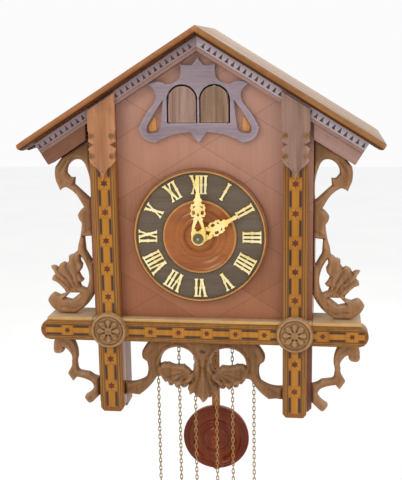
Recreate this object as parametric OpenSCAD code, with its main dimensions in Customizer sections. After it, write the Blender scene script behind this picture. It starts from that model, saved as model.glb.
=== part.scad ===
// Wall cuckoo clock with two birds, three chain-driven trains and a carved, inlaid case.
// Millimetres, +Z up, +X to the right as seen from the front, front towards -Y.
// The wall is the plane y = 0 and the origin is the middle of the hanging hole.

/* [Case] */
// Width over the corner posts and side panels
case_w = 276; // [255:1:330]
// Depth from the wall to the face of the front panel
case_d = 165; // [160:1:210]
// Thickness of the front panel
panel_t = 8; // [6:0.5:9]
// Thickness of the side panels
side_t = 8; // [5:0.5:12]
// Thickness of the back board
back_t = 10; // [8:0.5:12]
// Thickness of the case floor
floor_t = 8; // [5:0.5:12]
// Width of a corner post
post_w = 42; // [30:1:46]
// Depth of a corner post
post_d = 32; // [20:1:40]
// How far a corner post reaches below the beam
post_drop = 95; // [60:1:120]

/* [Roof] */
// Width over the eaves
roof_w = 445; // [400:1:520]
// Height of the ridge above the dial arbor
ridge_h = 253; // [240:1:300]
// Slope of the roof in degrees
roof_pitch = 31.9; // [30:0.1:33]
// Thickness of a roof board
roof_t = 12; // [8:0.5:15]
// How far the roof stands out in front of the front panel
roof_front = 31; // [26:1:50]
// Height of the notched fascia
fascia_h = 13; // [8:0.5:15]
// Height of the eave block below the fascia
eave_h = 16; // [10:0.5:18]

/* [Front] */
// Width of the beam
beam_w = 414; // [360:1:430]
// Height of the beam without its shelf
beam_h = 26; // [20:1:32]
// Thickness of the beam
beam_t = 22; // [18:1:28]
// Thickness of the shelf on the beam
shelf_t = 4; // [3:0.5:6]
// How far the top of the shelf lies below the dial arbor
shelf_drop = 106; // [100:1:120]
// Width of a marquetry pilaster
pilaster_w = 30; // [22:1:34]
// How far a pilaster stands out from the front panel
pilaster_t = 14; // [10:1:16]
// Distance of a pilaster's middle from the middle of the clock
pilaster_x = 117; // [112:0.5:120]
// Diameter of a rosette
rosette_d = 46; // [36:1:48]
// Thickness of the openwork carvings
carving_t = 10; // [6:0.5:12]

/* [Dial] */
// Outer diameter of the dial
dial_d = 168; // [160:1:180]
// Width of the moulded rim
rim_w = 5; // [4:0.5:9]
// Diameter of the turned centre
centre_d = 90; // [80:1:96]
// Height of a numeral
numeral_h = 23; // [16:1:24]
// Length of the minute hand from the arbor
minute_len = 76; // [60:1:78]
// Length of the hour hand from the arbor
hour_len = 56; // [40:1:60]

/* [Birds] */
// Width of a bird door
door_w = 33.6; // [30:0.2:36]
// Height of a bird door
door_h = 43.5; // [40:0.5:46]
// How far a bird comes forward
bird_travel = 45; // [30:1:50]

/* [Drive] */
// Distance between neighbouring chain wheels
train_dx = 49; // [48.5:0.5:54]
// Distance of a chain from the axis of its chain wheel
chain_r = 14; // [13:0.5:15]
// Width of the chain
chain_w = 4.4; // [3:0.2:5]
// How far the top of a weight hangs below the dial arbor
weight_drop = 363; // [300:1:400]
// Length of a cone weight
weight_len = 110; // [90:1:140]
// Diameter of a cone weight
weight_d = 34; // [24:1:36]
// How far a pull ring hangs below the dial arbor
ring_drop = 505; // [480:1:600]

/* [Pendulum] */
// Length from the pivot to the middle of the bob
pend_len = 394; // [330:1:430]
// Diameter of the bob
bob_d = 95; // [70:1:110]
// Width of the pendulum rod
rod_w = 11.4; // [7:0.2:14]

/* [Hidden] */
$fn = 48;

// Planes, from front to back
face_y = -case_d;
front_y = face_y - pilaster_t;
inner_y = face_y + panel_t;
post_back_y = inner_y + post_d;
back_y = -back_t;

// Heights above the dial arbor; the hanging hole is hang_h above it
hang_h = 172;
dial_z = -hang_h;
shelf_z = -shelf_drop;
beam_top = shelf_z - shelf_t;
beam_bottom = beam_top - beam_h;
post_foot = beam_bottom - post_drop;
case_x = case_w / 2;
post_in = case_x - post_w;

// Roof underside and the lower edge of the fascia at a distance x from the middle
roof_drop = roof_t / cos(roof_pitch);
fascia_drop = (roof_t + fascia_h) / cos(roof_pitch);
function slope_z(x, drop) = ridge_h - x * tan(roof_pitch) - drop;

// Clearances
fit = 0.05;

// Wheels: module of the teeth, and where the arbors stand
tooth_m = 0.75;
sprocket_y = inner_y + 18;
arbor_r = 1.2;
great_z = -30;
third_at = [10.81, 24.74];
escape_z = 47;
verge_z = 70;
strike_pin_z = -6;
plate_front_y = inner_y + 10;
plate_rear_y = plate_front_y + 49;
plate_t = 2;
layer_a = plate_front_y + 19;
layer_b = layer_a + 8.5;
layer_c = layer_b + 7.5;
layer_d = layer_c + 9;
wheel_t = 2;
work_angle = 210;
work_r = 18;
work_at = work_r * [cos(work_angle), sin(work_angle)];

// Pendulum
pend_y = -33.5;
rod_t = 5;
pivot_r = 1.5;

// Chain weights hang on the outer strand left and right and on the right strand in the middle
pull_x = [-train_dx - chain_r, chain_r, train_dx + chain_r];
ring_x = [-train_dx + chain_r, -chain_r, train_dx - chain_r];

// Bellows: places of the three boxes and the sizes they share
bellows_w = 30;
bellows_l = 58;
lid_t = 3.5;
fold_t = 8;
base_z = 32;
cuckoo_bellows_x = case_x - side_t - bellows_w / 2 - 6;
quail_bellows_x = -52;

// ---- Shared shapes ----

module at_dial() translate([0, 0, dial_z]) children();

// A shape drawn as seen from the front, made t thick backwards from the plane y
module board(y, t) translate([0, y + t, 0]) rotate([90, 0, 0]) linear_extrude(t) children();

// A turned piece whose axis points to the front; its profile is [radius, height above the plane y]
module turned(y) translate([0, y, 0]) rotate([90, 0, 0]) rotate_extrude($fn = 96) children();

// A round bar along Y from y0 to y1
module bar(x, z, r, y0, y1) translate([x, y1, z]) rotate([90, 0, 0]) cylinder(r = r, h = y1 - y0);

// Points on a bowed line from a to b; sag is how far it bows to the left of its way
function bowed(a, b, sag, n = 7) = let(d = b - a, side = [-d[1], d[0]] / norm(d))
    [for (i = [0 : n - 1]) let(t = i / n) a + t * d + 4 * sag * t * (1 - t) * side];

// A closed outline from rows of [x, z, sag of the way to the next row]
function outline(rows) = [for (i = [0 : len(rows) - 1]) let(a = rows[i],
    b = rows[(i + 1) % len(rows)])
    each a[2] == 0 ? [[a[0], a[1]]] : bowed([a[0], a[1]], [b[0], b[1]], a[2])];

module shape(rows) polygon(outline(rows));

module both_sides() {
    children();
    mirror([1, 0, 0]) children();
}

// A band along the right roof slope, from s0 to s1 down the slope and y0 to y1 across it
module slope_band(s0, s1, y0, y1)
    translate([0, ridge_h]) rotate(-roof_pitch) translate([s0, y0]) square([s1 - s0, y1 - y0]);

module right_half(x0 = 0) intersection() {
    children();
    translate([x0, -400]) square([400, 800]);
}

// ---- Teeth ----

// A wheel seen from the front, with a gap towards the angle face
module wheel_teeth(n, m, face) {
    rp = n * m / 2;
    step = 360 / n;
    rows = [[rp - 1.1 * m, -0.27], [rp, -0.19], [rp + 0.7 * m, -0.1],
        [rp + 0.7 * m, 0.1], [rp, 0.19], [rp - 1.1 * m, 0.27]];
    polygon([for (i = [0 : n - 1]) for (r = rows) let(a = face + step * (i + 0.5 + r[1]))
        r[0] * [cos(a), sin(a)]]);
}

// A wheel with five crossings on its arbor; y is its front face
module wheel(n, m, face, y) board(y, wheel_t) difference() {
    wheel_teeth(n, m, face);
    rim_r = n * m / 2 - 2.6;
    difference() {
        circle(r = rim_r);
        circle(r = 4.5);
        for (i = [0 : 4]) rotate(i * 72 + 18) translate([0, -1.3]) square([rim_r + 1, 2.6]);
    }
}

// A lantern pinion around the layer at y, with a pin towards the angle face
module lantern(n, m, face, y) {
    rp = n * m / 2;
    y0 = y - 1.6;
    y1 = y + wheel_t + 1.6;
    for (end = [y0 - 1, y1]) board(end, 1) circle(r = rp + 0.7);
    for (i = [0 : n - 1]) let(a = face + i * 360 / n)
        bar(rp * cos(a), rp * sin(a), 0.44 * m, y0 - 0.5, y1 + 0.5);
}

module arbor() bar(0, 0, arbor_r, plate_front_y + 0.2, plate_rear_y + plate_t - 0.2);

// The chain wheel of one train, in front of its great wheel
module chain_wheel() {
    r = chain_r - chain_w / 2 - 0.5;
    turned(sprocket_y + 5) polygon([[0, 0], [r + 1.5, 0], [r + 1.5, 1], [r - 1, 3],
        [r - 1, 7], [r + 1.5, 9], [r + 1.5, 10], [0, 10]]);
}

// ---- Case ----

module back_board() color("burlywood") at_dial() difference() {
    board(back_y, back_t) difference() {
        polygon([[-case_x, beam_bottom], [case_x, beam_bottom], [case_x, slope_z(case_x, roof_drop)],
            [0, slope_z(0, roof_drop)], [-case_x, slope_z(case_x, roof_drop)]]);
        translate([-door_half, rear_z0]) square([2 * door_half, rear_z1 - rear_z0]);
    }
    bar(0, hang_h, hang_r, back_y - 1, 1);
    for (z = [rear_z0 - 6, rear_z1 - 1]) translate([rear_pin_x, rear_pin_y, z])
        cylinder(r = 1.5 + fit, h = 7);
}

hang_r = 5;
door_half = 86;
rear_z0 = -98;
rear_z1 = 108;
rear_pin_x = -door_half + 6;
rear_pin_y = back_y / 2;

module rear_door() color("tan") at_dial() {
    difference() {
        translate([-door_half + 2, back_y + 1, rear_z0 + 1])
            cube([2 * door_half - 3, back_t - 2, rear_z1 - rear_z0 - 2]);
        bar(0, gong_z, 3, back_y, back_y + 5);
    }
    for (z = [rear_z0 - 5, rear_z1 - 5]) translate([rear_pin_x, rear_pin_y, z])
        cylinder(r = 1.5, h = 10);
}

module side_panels() color("peru") at_dial() both_sides() board(post_back_y, back_y - post_back_y)
    polygon([[case_x - side_t, beam_bottom], [case_x, beam_bottom],
        [case_x, slope_z(case_x, roof_drop)],
        [case_x - side_t, slope_z(case_x - side_t, roof_drop)]]);

module case_floor() color("burlywood") at_dial() difference() {
    union() {
        translate([-case_x + side_t, post_back_y, beam_bottom])
            cube([case_w - 2 * side_t, back_y - post_back_y, floor_t]);
        translate([-post_in, inner_y, beam_bottom]) cube([2 * post_in, post_d, floor_t]);
    }
    for (x = concat(pull_x, ring_x)) translate([x, sprocket_y, beam_bottom - 1])
        cylinder(r = chain_w / 2 + 1.5, h = floor_t + 2);
    translate([-rod_slot, pend_y - rod_t / 2 - 3, beam_bottom - 1])
        cube([2 * rod_slot, rod_t + 6, floor_t + 2]);
}

swing_max = 5;
rod_slot = rod_w / 2 + (verge_z - beam_bottom) * tan(swing_max) + 3;

module front_panel() color("sienna") at_dial() board(face_y, panel_t) difference() {
    polygon([[-case_x, beam_top], [case_x, beam_top], [case_x, slope_z(case_x, roof_drop)],
        [0, slope_z(0, roof_drop)], [-case_x, slope_z(case_x, roof_drop)]]);
    both_sides() door_hole(door_gap);
    circle(r = 6);
}

module roof_shape() right_half() slope_band(-20, roof_w / 2 / cos(roof_pitch), -roof_t, 0);

module roof_left() color("tan") at_dial() mirror([1, 0, 0])
    board(face_y - roof_front, case_d + roof_front) roof_shape();
module roof_right() color("tan") at_dial()
    board(face_y - roof_front, case_d + roof_front) roof_shape();

eave_end = (roof_w / 2 - 20.5 + roof_t * sin(roof_pitch)) / cos(roof_pitch);
notch_pitch = 8.2;
notch_depth = 3;

// Fascia with wedge notches on each slope and a plain block below its outer part
module gable_trim() color("rosybrown") at_dial() both_sides() {
    difference() {
        board(front_y, pilaster_t)
            right_half() slope_band(-20, eave_end, -roof_t - fascia_h, -roof_t);
        board(front_y - 1, notch_depth + 1)
            for (s = [notch_pitch * 2.4 : notch_pitch : eave_end - 4])
                translate([0, ridge_h]) rotate(-roof_pitch) translate([s, -roof_t])
                    polygon([[-2.2, -6.6], [2.2, -6.6], [0, -0.6]]);
    }
    board(front_y, eave_depth) right_half(case_x)
        slope_band(0, eave_end, -roof_t - fascia_h - eave_h, -roof_t - fascia_h);
    board(face_y, eave_depth - pilaster_t) right_half(case_x)
        slope_band(0, eave_end, -roof_t - fascia_h, -roof_t);
}

eave_depth = 24;

// A corner post seen from the front, with chamfered foot
module post_shape(x0, x1, top_drop) polygon([[x0 + 5, post_foot], [x1 - 5, post_foot],
    [x1, post_foot + 5], [x1, slope_z(x1, top_drop)], [x0, slope_z(x0, top_drop)],
    [x0, post_foot + 5]]);

// The posts are as narrow as the pilasters below the beam
module corner_posts() color("saddlebrown") at_dial() both_sides()
    board(inner_y, post_d) difference() {
        post_shape(post_in, case_x, roof_drop);
        translate([post_in - 1, post_foot - 1])
            square([pil_x0 - post_in + 1, beam_bottom - post_foot + 1]);
    }

pil_x0 = pilaster_x - pilaster_w / 2;
pil_x1 = pilaster_x + pilaster_w / 2;

module pilasters() color("goldenrod") at_dial() both_sides() {
    board(front_y, pilaster_t) polygon([[pil_x0, shelf_z], [pil_x1, shelf_z],
        [pil_x1, slope_z(pil_x1, fascia_drop)], [pil_x0, slope_z(pil_x0, fascia_drop)]]);
    board(front_y, beam_t) polygon([[pil_x0 + 4, post_foot], [pil_x1 - 4, post_foot],
        [pil_x1, post_foot + 5], [pil_x1, beam_bottom], [pil_x0, beam_bottom],
        [pil_x0, post_foot + 5]]);
}

module beam() color("goldenrod") at_dial() board(front_y, beam_t) {
    r = beam_h / 2;
    translate([-beam_w / 2 + r, beam_bottom]) square([beam_w - beam_h, beam_h]);
    both_sides() translate([beam_w / 2 - r, beam_bottom + r]) circle(r = r);
}

shelf_half = beam_w / 2 - 9;
shelf_d = 48;

module shelf() color("tan") at_dial() difference() {
    translate([-shelf_half, front_y, beam_top]) cube([2 * shelf_half, shelf_d, shelf_t]);
    translate([-case_x, face_y, beam_top - 1]) cube([case_w, 100, shelf_t + 2]);
}

// ---- Carvings ----

cap_t = 6;

module post_caps() color("dimgray") at_dial() both_sides() {
    h = pilaster_w / 2 + 2;
    board(front_y - cap_t, cap_t) translate([pilaster_x, 0]) shape([
        [-h, slope_z(pilaster_x - h, roof_drop), 0], [h, slope_z(pilaster_x + h, roof_drop), 0],
        [h, 120, 0], [h - 6, 113.5, 0], [h, 107, 0], [h - 2, 95, 1], [8, 86, -1.5], [0, 71, -1.5],
        [-8, 86, 1], [2 - h, 95, 0], [-h, 107, 0], [6 - h, 113.5, 0], [-h, 120, 0]]);
    for (x = [-12.4, 12.4], z = [100, 124.5]) translate([pilaster_x + x, 0, z])
        turned(front_y - cap_t) polygon([[0, 0], [3.5, 0], [3, 1.2], [0, 2]]);
}

module rosettes() color("peru") at_dial() both_sides()
    translate([pilaster_x, 0, (shelf_z + beam_bottom) / 2]) turned(front_y)
        polygon([[0, 0], [rosette_d / 2, 0], [rosette_d / 2, 6], [rosette_d / 2 - 3, 8],
            [8, 6], [6, 9], [0, 10]]);

// Rows of the openwork outlines: x, z and the sag of the way to the next point
scroll_rows = [[184, 84, 1], [184, 66, 0], [179, 54, -1], [171, 58, -2],
    [154, 42, 0], [149, 33, 1], [157.5, 23, 1], [153, 13, -1], [158.5, -15, 0], [160, -24, 0.5],
    [171.5, -30, -0.6], [174.5, -40.5, 0.3], [183.5, -41, 0], [186.5, -46, 0], [196, -44, -1],
    [191, -54.5, 0.3], [195, -62.5, 0.5], [187, -67, 0], [181, -73, -1], [178, -80, 0],
    [194, -79, 1], [202, -89, 4], [182, shelf_z, 0]];
ring_hole = [[140.5, 44, 3], [145, 86, 4], [160, 92, 3], [169, 76, 0], [159, 71, 0], [160, 62, 0]];
stem_hole = [[141, -4, 0], [150, -5, 0], [149, -22, 0], [141, -36, 0]];
leaf_hole = [[156, -30, -2], [146, -56, -1], [150, -73, 0], [157, -70, 0], [158.5, -65, 0],
    [153, -61.5, 0], [159, -52, 0], [154, -41, 0]];
curl_hole = [[158, -79, 0], [172, -79, 0], [179, -86, 0], [170, -88, 0]];

module side_bracket() board(inner_y - carving_t + 3, carving_t) difference() {
    shape([[case_x, slope_z(case_x, eave_drop), 0], [175, slope_z(175, eave_drop), 0],
        for (row = scroll_rows) row, [166, shelf_z, 4], [case_x, -75, 0]]);
    shape(ring_hole);
    shape(stem_hole);
    shape(leaf_hole);
    shape(curl_hole);
}

eave_drop = (roof_t + fascia_h + eave_h) / cos(roof_pitch);

module side_bracket_left() color("sienna") at_dial() mirror([1, 0, 0]) side_bracket();
module side_bracket_right() color("sienna") at_dial() side_bracket();

module lower_brackets() color("sienna") at_dial() both_sides()
    board(inner_y - carving_t + 3, carving_t) shape([[174, beam_bottom, 0],
        [191, beam_bottom, 2], [197.5, -152, 5], [188, -161, 2], [183.5, -153, -1],
        [177, -158, -2], [174, -171, -1], [176, -181, 0], [180, -188, 0], [173, -199, 0],
        [168, -193, -1], [150, -198, -1.5], [146, -207, -1], [155, -216, 3], [156, -225, 3],
        [147, -226, 0], [case_x, -217, 0], [case_x, -192, -1], [150, -186, 0], [163, -184, -1],
        [166, -178, -1], [165, -165, 3]]);

apron_rows = [[66, beam_bottom, 1], [78.5, -153, 1], [78, -163, 0], [73, -167, -2],
    [74, -188, -3], [pil_x0, -195, 0], [pil_x0, -213, -1], [84, -213, 2], [61, -188, -1],
    [53, -187, 0], [50, -194, 0], [41.5, -199, 0], [38, -197, 0], [33, -202, 0],
    [22.3, -200.5, 0], [17, -194, 0], [20.5, -203, -0.5], [18, -211, 0], [12, -208, 0],
    [10, -213, 0], [0, -220.5, 0]];
eye_hole = [[10, -167, 7], [33, -146.5, 7], [55.5, -170, 0], [44, -167.5, -1], [24, -170, 0],
    [14, -180, 0]];

module apron() color("sienna") at_dial() board(inner_y - 12, carving_t) difference() {
    both_sides() shape([[0, beam_bottom, 0], for (row = apron_rows) row]);
    both_sides() shape(eye_hole);
    translate([0, -151]) circle(r = 2);
}

// ---- Bird doors ----

door_x0 = 2.8;
door_z0 = 139;
door_gap = 2;
door_y = face_y - 7;
door_t = 4;
surround_t = 7.4;
hinge_r = 0.8;
hinge_x = door_x0 + door_w - 1;

// Arched outline of a door opening, wider than the door by play on every side
module door_hole(play) {
    r = door_w / 2;
    cx = door_x0 + r;
    translate([cx, door_z0 + door_h - r]) circle(r = r + min(play, cx - r - 0.8));
    translate([door_x0 - min(play, door_x0 - 1.2), door_z0 - 0.5])
        square([door_w + min(play, door_x0 - 1.2) + play, door_h - r + 0.5]);
}

surround_rows = [[0, 216.5, -0.5], [7.2, 207.5, -0.6], [21.5, 208.6, -9], [39, 184.8, 3.5],
    [60.5, 185, -5.5], [54, 162, 1.5], [73, 133, 5.5], [53, 115.2, -3], [9.6, 127.5, -1],
    [0, 114.4, 0]];
teardrop_rows = [[42.8, 166, 1], [63, 135, 5], [55, 126.5, 2], [46.5, 134, 0]];

module door_surround() color("rosybrown") at_dial() difference() {
    board(face_y - surround_t, surround_t) difference() {
        both_sides() shape(surround_rows);
        both_sides() shape(teardrop_rows);
        both_sides() door_hole(door_gap);
    }
    both_sides() translate([hinge_x, door_y + hinge_r, door_z0 - 4])
        cylinder(r = hinge_r + fit, h = door_h + 1.5);
}

module bird_door() {
    r = door_w / 2;
    board(door_y, door_t) union() {
        translate([door_x0 + r, door_z0 + door_h - r]) circle(r = r);
        translate([door_x0, door_z0]) square([door_w, door_h - r]);
    }
    for (z = [door_z0 - 3.5, door_z0 + door_h - r - 4]) translate([hinge_x, door_y + hinge_r, z])
        cylinder(r = hinge_r, h = z < door_z0 ? 6 : 17);
}

module bird_door_left() color("tan") at_dial() mirror([1, 0, 0]) bird_door();
module bird_door_right() color("tan") at_dial() bird_door();

module bird_shelf() color("burlywood") at_dial() translate([-60, inner_y, door_z0 - 4])
    cube([120, 62, 3.6]);

// A bird on its slide, its beak towards the front
module bird(x, girth) translate([x, 0, 0]) {
    translate([-3.5, inner_y + 9, door_z0]) cube([7, 48, 2.5]);
    bar_y = inner_y + 24;
    translate([0, bar_y, door_z0 + 2]) cylinder(r = 1.2, h = 8);
    translate([0, 0, door_z0 + 15]) turned(inner_y + 44) polygon([[0, 0], [2, 0], [3, 12],
        [girth, 20], [girth + 0.5, 26], [girth - 2, 33], [0, 36]]);
    translate([0, inner_y + 11, door_z0 + 23]) sphere(r = 6);
    translate([0, 0, door_z0 + 23]) turned(inner_y + 6.5)
        polygon([[0, 0], [2, 0], [0, 5.5]]);
}

module cuckoo() color("gray") at_dial() bird(-door_x0 - door_w / 2, 8);
module quail() color("tan") at_dial() bird(door_x0 + door_w / 2, 8.5);

// ---- Dial and hands ----

ring_y = face_y - 10;

module dial_rim() color("tan") at_dial() turned(face_y) {
    r = dial_d / 2;
    polygon([[r - rim_w, 0], [r, 0], [r, 4], [r - 1.5, 9], [r - 2.5, 13], [r - 3.5, 14],
        [r - rim_w, 11]]);
}

module dial_plate() color("darkslategray") at_dial() turned(face_y) {
    r = centre_d / 2;
    polygon([[work_bore, 0], [dial_d / 2 - rim_w, 0], [dial_d / 2 - rim_w, 10], [r + 0.5, 10],
        [r, 13], [r - 3, 13], [26, 9], [24, 11], [20, 12], [17, 10], [14, 12], [work_bore, 12]]);
}

work_bore = 4.6;

// Radial numerals from strokes: each glyph is a list of [offset, slant, width]
glyph_i = [[0, 0, 2.4]];
glyph_v = [[-2.2, 9, 2.4], [2.2, -9, 1.6]];
glyph_x = [[0, 17, 2.4], [0, -17, 1.6]];
glyph_w = [4.7, 10.2, 11];
hour_words = [[0], [0, 0], [0, 0, 0], [0, 0, 0, 0], [1], [1, 0], [1, 0, 0], [1, 0, 0, 0],
    [0, 2], [2], [2, 0], [2, 0, 0]];
numeral_r = dial_d / 2 - rim_w - 3 - numeral_h / 2;

// Sum of the widths of the first k glyphs of a word
function run_w(word, k) = k == 0 ? 0 : glyph_w[word[k - 1]] + run_w(word, k - 1);

module glyph(kind) {
    strokes = kind == 0 ? glyph_i : kind == 1 ? glyph_v : glyph_x;
    h = numeral_h;
    for (s = strokes) translate([s[0], 0]) rotate(s[1]) square([s[2], h - 1], center = true);
    for (z = [-h / 2, h / 2 - 1]) translate([-glyph_w[kind] / 2 + 0.1, z])
        square([glyph_w[kind] + 0.05, 1]);
}

module numerals() color("khaki") at_dial() board(ring_y - 2.5, 2.5)
    for (i = [0 : 11]) let(word = hour_words[i], all_w = run_w(word, len(word)))
        rotate(-30 * (i + 1)) translate([0, numeral_r])
            for (k = [0 : len(word) - 1])
                translate([run_w(word, k) + glyph_w[word[k]] / 2 - all_w / 2, 0]) glyph(word[k]);

hour_hand_y = front_y - 4;
minute_hand_y = hour_hand_y - 4;
hour_angle = 60;
hand_t = 1.6;

module hour_hand() color("khaki") at_dial() board(hour_hand_y, hand_t)
    rotate(-hour_angle) difference() {
        union() {
            circle(r = 8);
            shape([[-4, 4, 3], [-3, hour_len - 26, 3], [-2, hour_len - 10, 0], [0, hour_len, 0],
                [2, hour_len - 10, 3], [3, hour_len - 26, 3], [4, 4, 0]]);
        }
        circle(r = hour_pipe_r);
    }

module minute_hand() color("khaki") at_dial() board(minute_hand_y, hand_t) difference() {
    union() {
        circle(r = 8);
        shape([[-4, 4, 3], [-4, minute_len - 38, 2], [-2, minute_len - 24, 0], [0, minute_len, 0],
            [2, minute_len - 24, 2], [4, minute_len - 38, 3], [4, 4, 0]]);
    }
    circle(r = minute_pipe_r);
}

hour_pipe_r = 4;
minute_pipe_r = 2.5;

module hand_nut() color("goldenrod") at_dial() difference() {
    turned(minute_hand_y) polygon([[0, 0], [6.5, 0], [6.5, 1.5], [4.5, 3], [4.5, 4.5], [2, 6], [0, 6]]);
    bar(0, 0, 1.5, minute_hand_y - 4, minute_hand_y + 1);
}

// ---- Motion work ----

work_y0 = inner_y + 1.5;

module hour_pipe() color("gold") at_dial() difference() {
    union() {
        board(work_y0 + 0.4, 1.6) wheel_teeth(40, 0.72, work_angle);
        bar(0, 0, hour_pipe_r, hour_hand_y, work_y0 + 2);
    }
    bar(0, 0, minute_pipe_r + fit, hour_hand_y - 1, work_y0 + 3);
}

module minute_wheel() color("gold") at_dial() translate([work_at[0], 0, work_at[1]]) {
    board(work_y0 + 4.4, 1.6) wheel_teeth(36, 0.75, work_angle + 180);
    board(work_y0, 4.6) wheel_teeth(10, 0.72, work_angle + 180 + 18);
    bar(0, 0, arbor_r, work_y0 + 5, plate_front_y + plate_t);
}

module cannon_pinion() color("gold") at_dial() difference() {
    union() {
        board(work_y0 + 4.2, 2) wheel_teeth(12, 0.75, work_angle + 15);
        bar(0, 0, minute_pipe_r, minute_hand_y, work_y0 + 5);
    }
    bar(0, 0, arbor_r + fit, minute_hand_y - 1, work_y0 + 7);
}

// ---- Movement ----

frame_x = 76;
frame_z0 = -56;
frame_z1 = 90;

module plate_holes() {
    both_sides() translate([train_dx, great_z]) circle(r = arbor_r + fit);
    both_sides() translate([train_dx, strike_pin_z]) circle(r = arbor_r + fit);
    for (p = [[0, great_z], [0, 0], third_at, [0, escape_z], [0, verge_z]])
        translate(p) circle(r = arbor_r + fit);
}

module movement_frame() color("gold") at_dial() {
    for (y = [plate_front_y, plate_rear_y]) board(y, plate_t) difference() {
        translate([-frame_x, frame_z0]) square([2 * frame_x, frame_z1 - frame_z0]);
        plate_holes();
        if (y == plate_front_y) translate(work_at) circle(r = arbor_r + fit);
    }
    for (x = [-1, 1], z = [frame_z0 + 6, frame_z1 - 6]) {
        bar(x * (frame_x - 6), z, 3.5, plate_front_y + plate_t, plate_rear_y);
        bar(x * (frame_x - 6), z, 4, inner_y, plate_front_y);
    }
    // Cock that carries the pendulum behind the rear plate
    cock_z = verge_z + 12;
    translate([-4, plate_rear_y + plate_t, cock_z])
        cube([8, pend_y + rod_t / 2 + 6 - plate_rear_y - plate_t, 5]);
    translate([-4, pend_y + rod_t / 2 + 2, verge_z - 4]) cube([8, 4, 17]);
    bar(0, verge_z, pivot_r, pend_y - rod_t / 2 - 1.5, pend_y + rod_t / 2 + 3);
    // Stud for the gong hammer
    bar(hammer_x, hammer_z, 1.5, plate_rear_y + plate_t, hammer_y + 4);
}

module great_wheel() color("gold") at_dial() translate([0, 0, great_z]) {
    wheel(48, 1, 90, layer_a);
    arbor();
    chain_wheel();
}

module centre_wheel() color("gold") at_dial() {
    lantern(12, 1, -90, layer_a);
    wheel(66, tooth_m, atan2(third_at[1], third_at[0]), layer_b);
    bar(0, 0, arbor_r, minute_hand_y - 4, plate_rear_y + plate_t - 0.2);
}

escape_face = atan2(escape_z - third_at[1], -third_at[0]);

module third_wheel() color("gold") at_dial() translate([third_at[0], 0, third_at[1]]) {
    lantern(6, tooth_m, atan2(-third_at[1], -third_at[0]), layer_b);
    wheel(60, tooth_m, escape_face, layer_c);
    arbor();
}

escape_n = 26;
escape_r = 16;

module escape_wheel() color("gold") at_dial() translate([0, 0, escape_z]) {
    lantern(6, tooth_m, escape_face + 180, layer_c);
    board(layer_d, wheel_t) difference() {
        polygon([for (i = [0 : escape_n - 1]) for (k = [[13, 0], [escape_r, 8], [13, 9]])
            let(a = i * 360 / escape_n + k[1]) k[0] * [cos(a), sin(a)]]);
        difference() {
            circle(r = 11);
            circle(r = 4);
            for (i = [0 : 3]) rotate(i * 90) translate([0, -1.2]) square([12, 2.4]);
        }
    }
    arbor();
}

crutch_z = 26;
crutch_y = plate_rear_y + plate_t + 46;

module verge() color("silver") at_dial() translate([0, 0, verge_z]) {
    bar(0, 0, arbor_r, plate_front_y + 0.2, crutch_y + 3);
    board(layer_d, wheel_t) difference() {
        union() {
            circle(r = 4);
            both_sides() shape([[0, 3, 1], [17, -8, 0], [15.5, -13, 0], [13, -9, -1], [0, -2, 0]]);
        }
        circle(r = 1);
    }
    board(crutch_y, 2.4) {
        circle(r = 3.5);
        translate([-1.5, crutch_z - verge_z]) square([3, verge_z - crutch_z]);
        translate([-rod_w / 2 - 2.6, crutch_z - verge_z - 2]) square([rod_w + 5.2, 3]);
    }
    for (x = [-1, 1]) bar(x * (rod_w / 2 + 1.7), crutch_z - verge_z - 0.5, 0.8,
        crutch_y + 1, pend_y + rod_t / 2 + 1.5);
}

module strike_great() translate([train_dx, 0, great_z]) {
    wheel(56, tooth_m, 90, layer_a);
    arbor();
    chain_wheel();
}

module strike_pin() translate([train_dx, 0, strike_pin_z]) {
    lantern(8, tooth_m, -90, layer_a);
    wheel(58, tooth_m, 70, layer_c);
    for (i = [0 : 7]) let(a = i * 45) bar(19 * cos(a), 19 * sin(a), 0.8, layer_c + 1, layer_c + 6);
    arbor();
}

module cuckoo_great_wheel() color("gold") at_dial() mirror([1, 0, 0]) strike_great();
module cuckoo_pin_wheel() color("gold") at_dial() mirror([1, 0, 0]) strike_pin();
module quail_great_wheel() color("gold") at_dial() strike_great();
module quail_pin_wheel() color("gold") at_dial() strike_pin();

// ---- Chains and weights ----

hook_r = 4;
ring_r = 9;

// The loaded strand of a chain with its hook
module weight_strand(x) translate([x, sprocket_y, 0]) {
    translate([0, 0, 1 - weight_drop + 2 * hook_r]) cylinder(r = chain_w / 2, h = chain_top(weight_drop));
    translate([0, 0, hook_r - weight_drop]) rotate([90, 0, 0]) rotate_extrude()
        translate([hook_r - 1.1, 0]) circle(r = 1.1);
}

// Height of a straight strand that starts below the chain wheel's axis
function chain_top(drop) = drop + great_z - 2 * hook_r - 3;

module ring_strand(x) translate([x, sprocket_y, 0]) {
    translate([0, 0, 1 - ring_drop + 2 * ring_r - 1.5]) cylinder(r = chain_w / 2,
        h = ring_drop + great_z - 2 * ring_r - 1);
    translate([0, 0, ring_r - ring_drop]) rotate([0, 90, 0]) rotate([0, 0, 90]) rotate_extrude()
        translate([ring_r - 1.5, 0]) circle(r = 1.5);
}

// A pine-cone weight hanging from the plane z = -weight_drop
module cone_weight(x) translate([x, sprocket_y, -weight_drop]) rotate_extrude($fn = 64) {
    r = weight_d / 2;
    h = weight_len;
    polygon([[0, 0], [2, 0], [2, -5], [r * 0.55, -8], [r * 0.9, -h * 0.22], [r, -h * 0.4],
        [r * 0.9, -h * 0.62], [r * 0.6, -h * 0.85], [r * 0.2, -h * 0.97], [0, -h]]);
}

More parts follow.
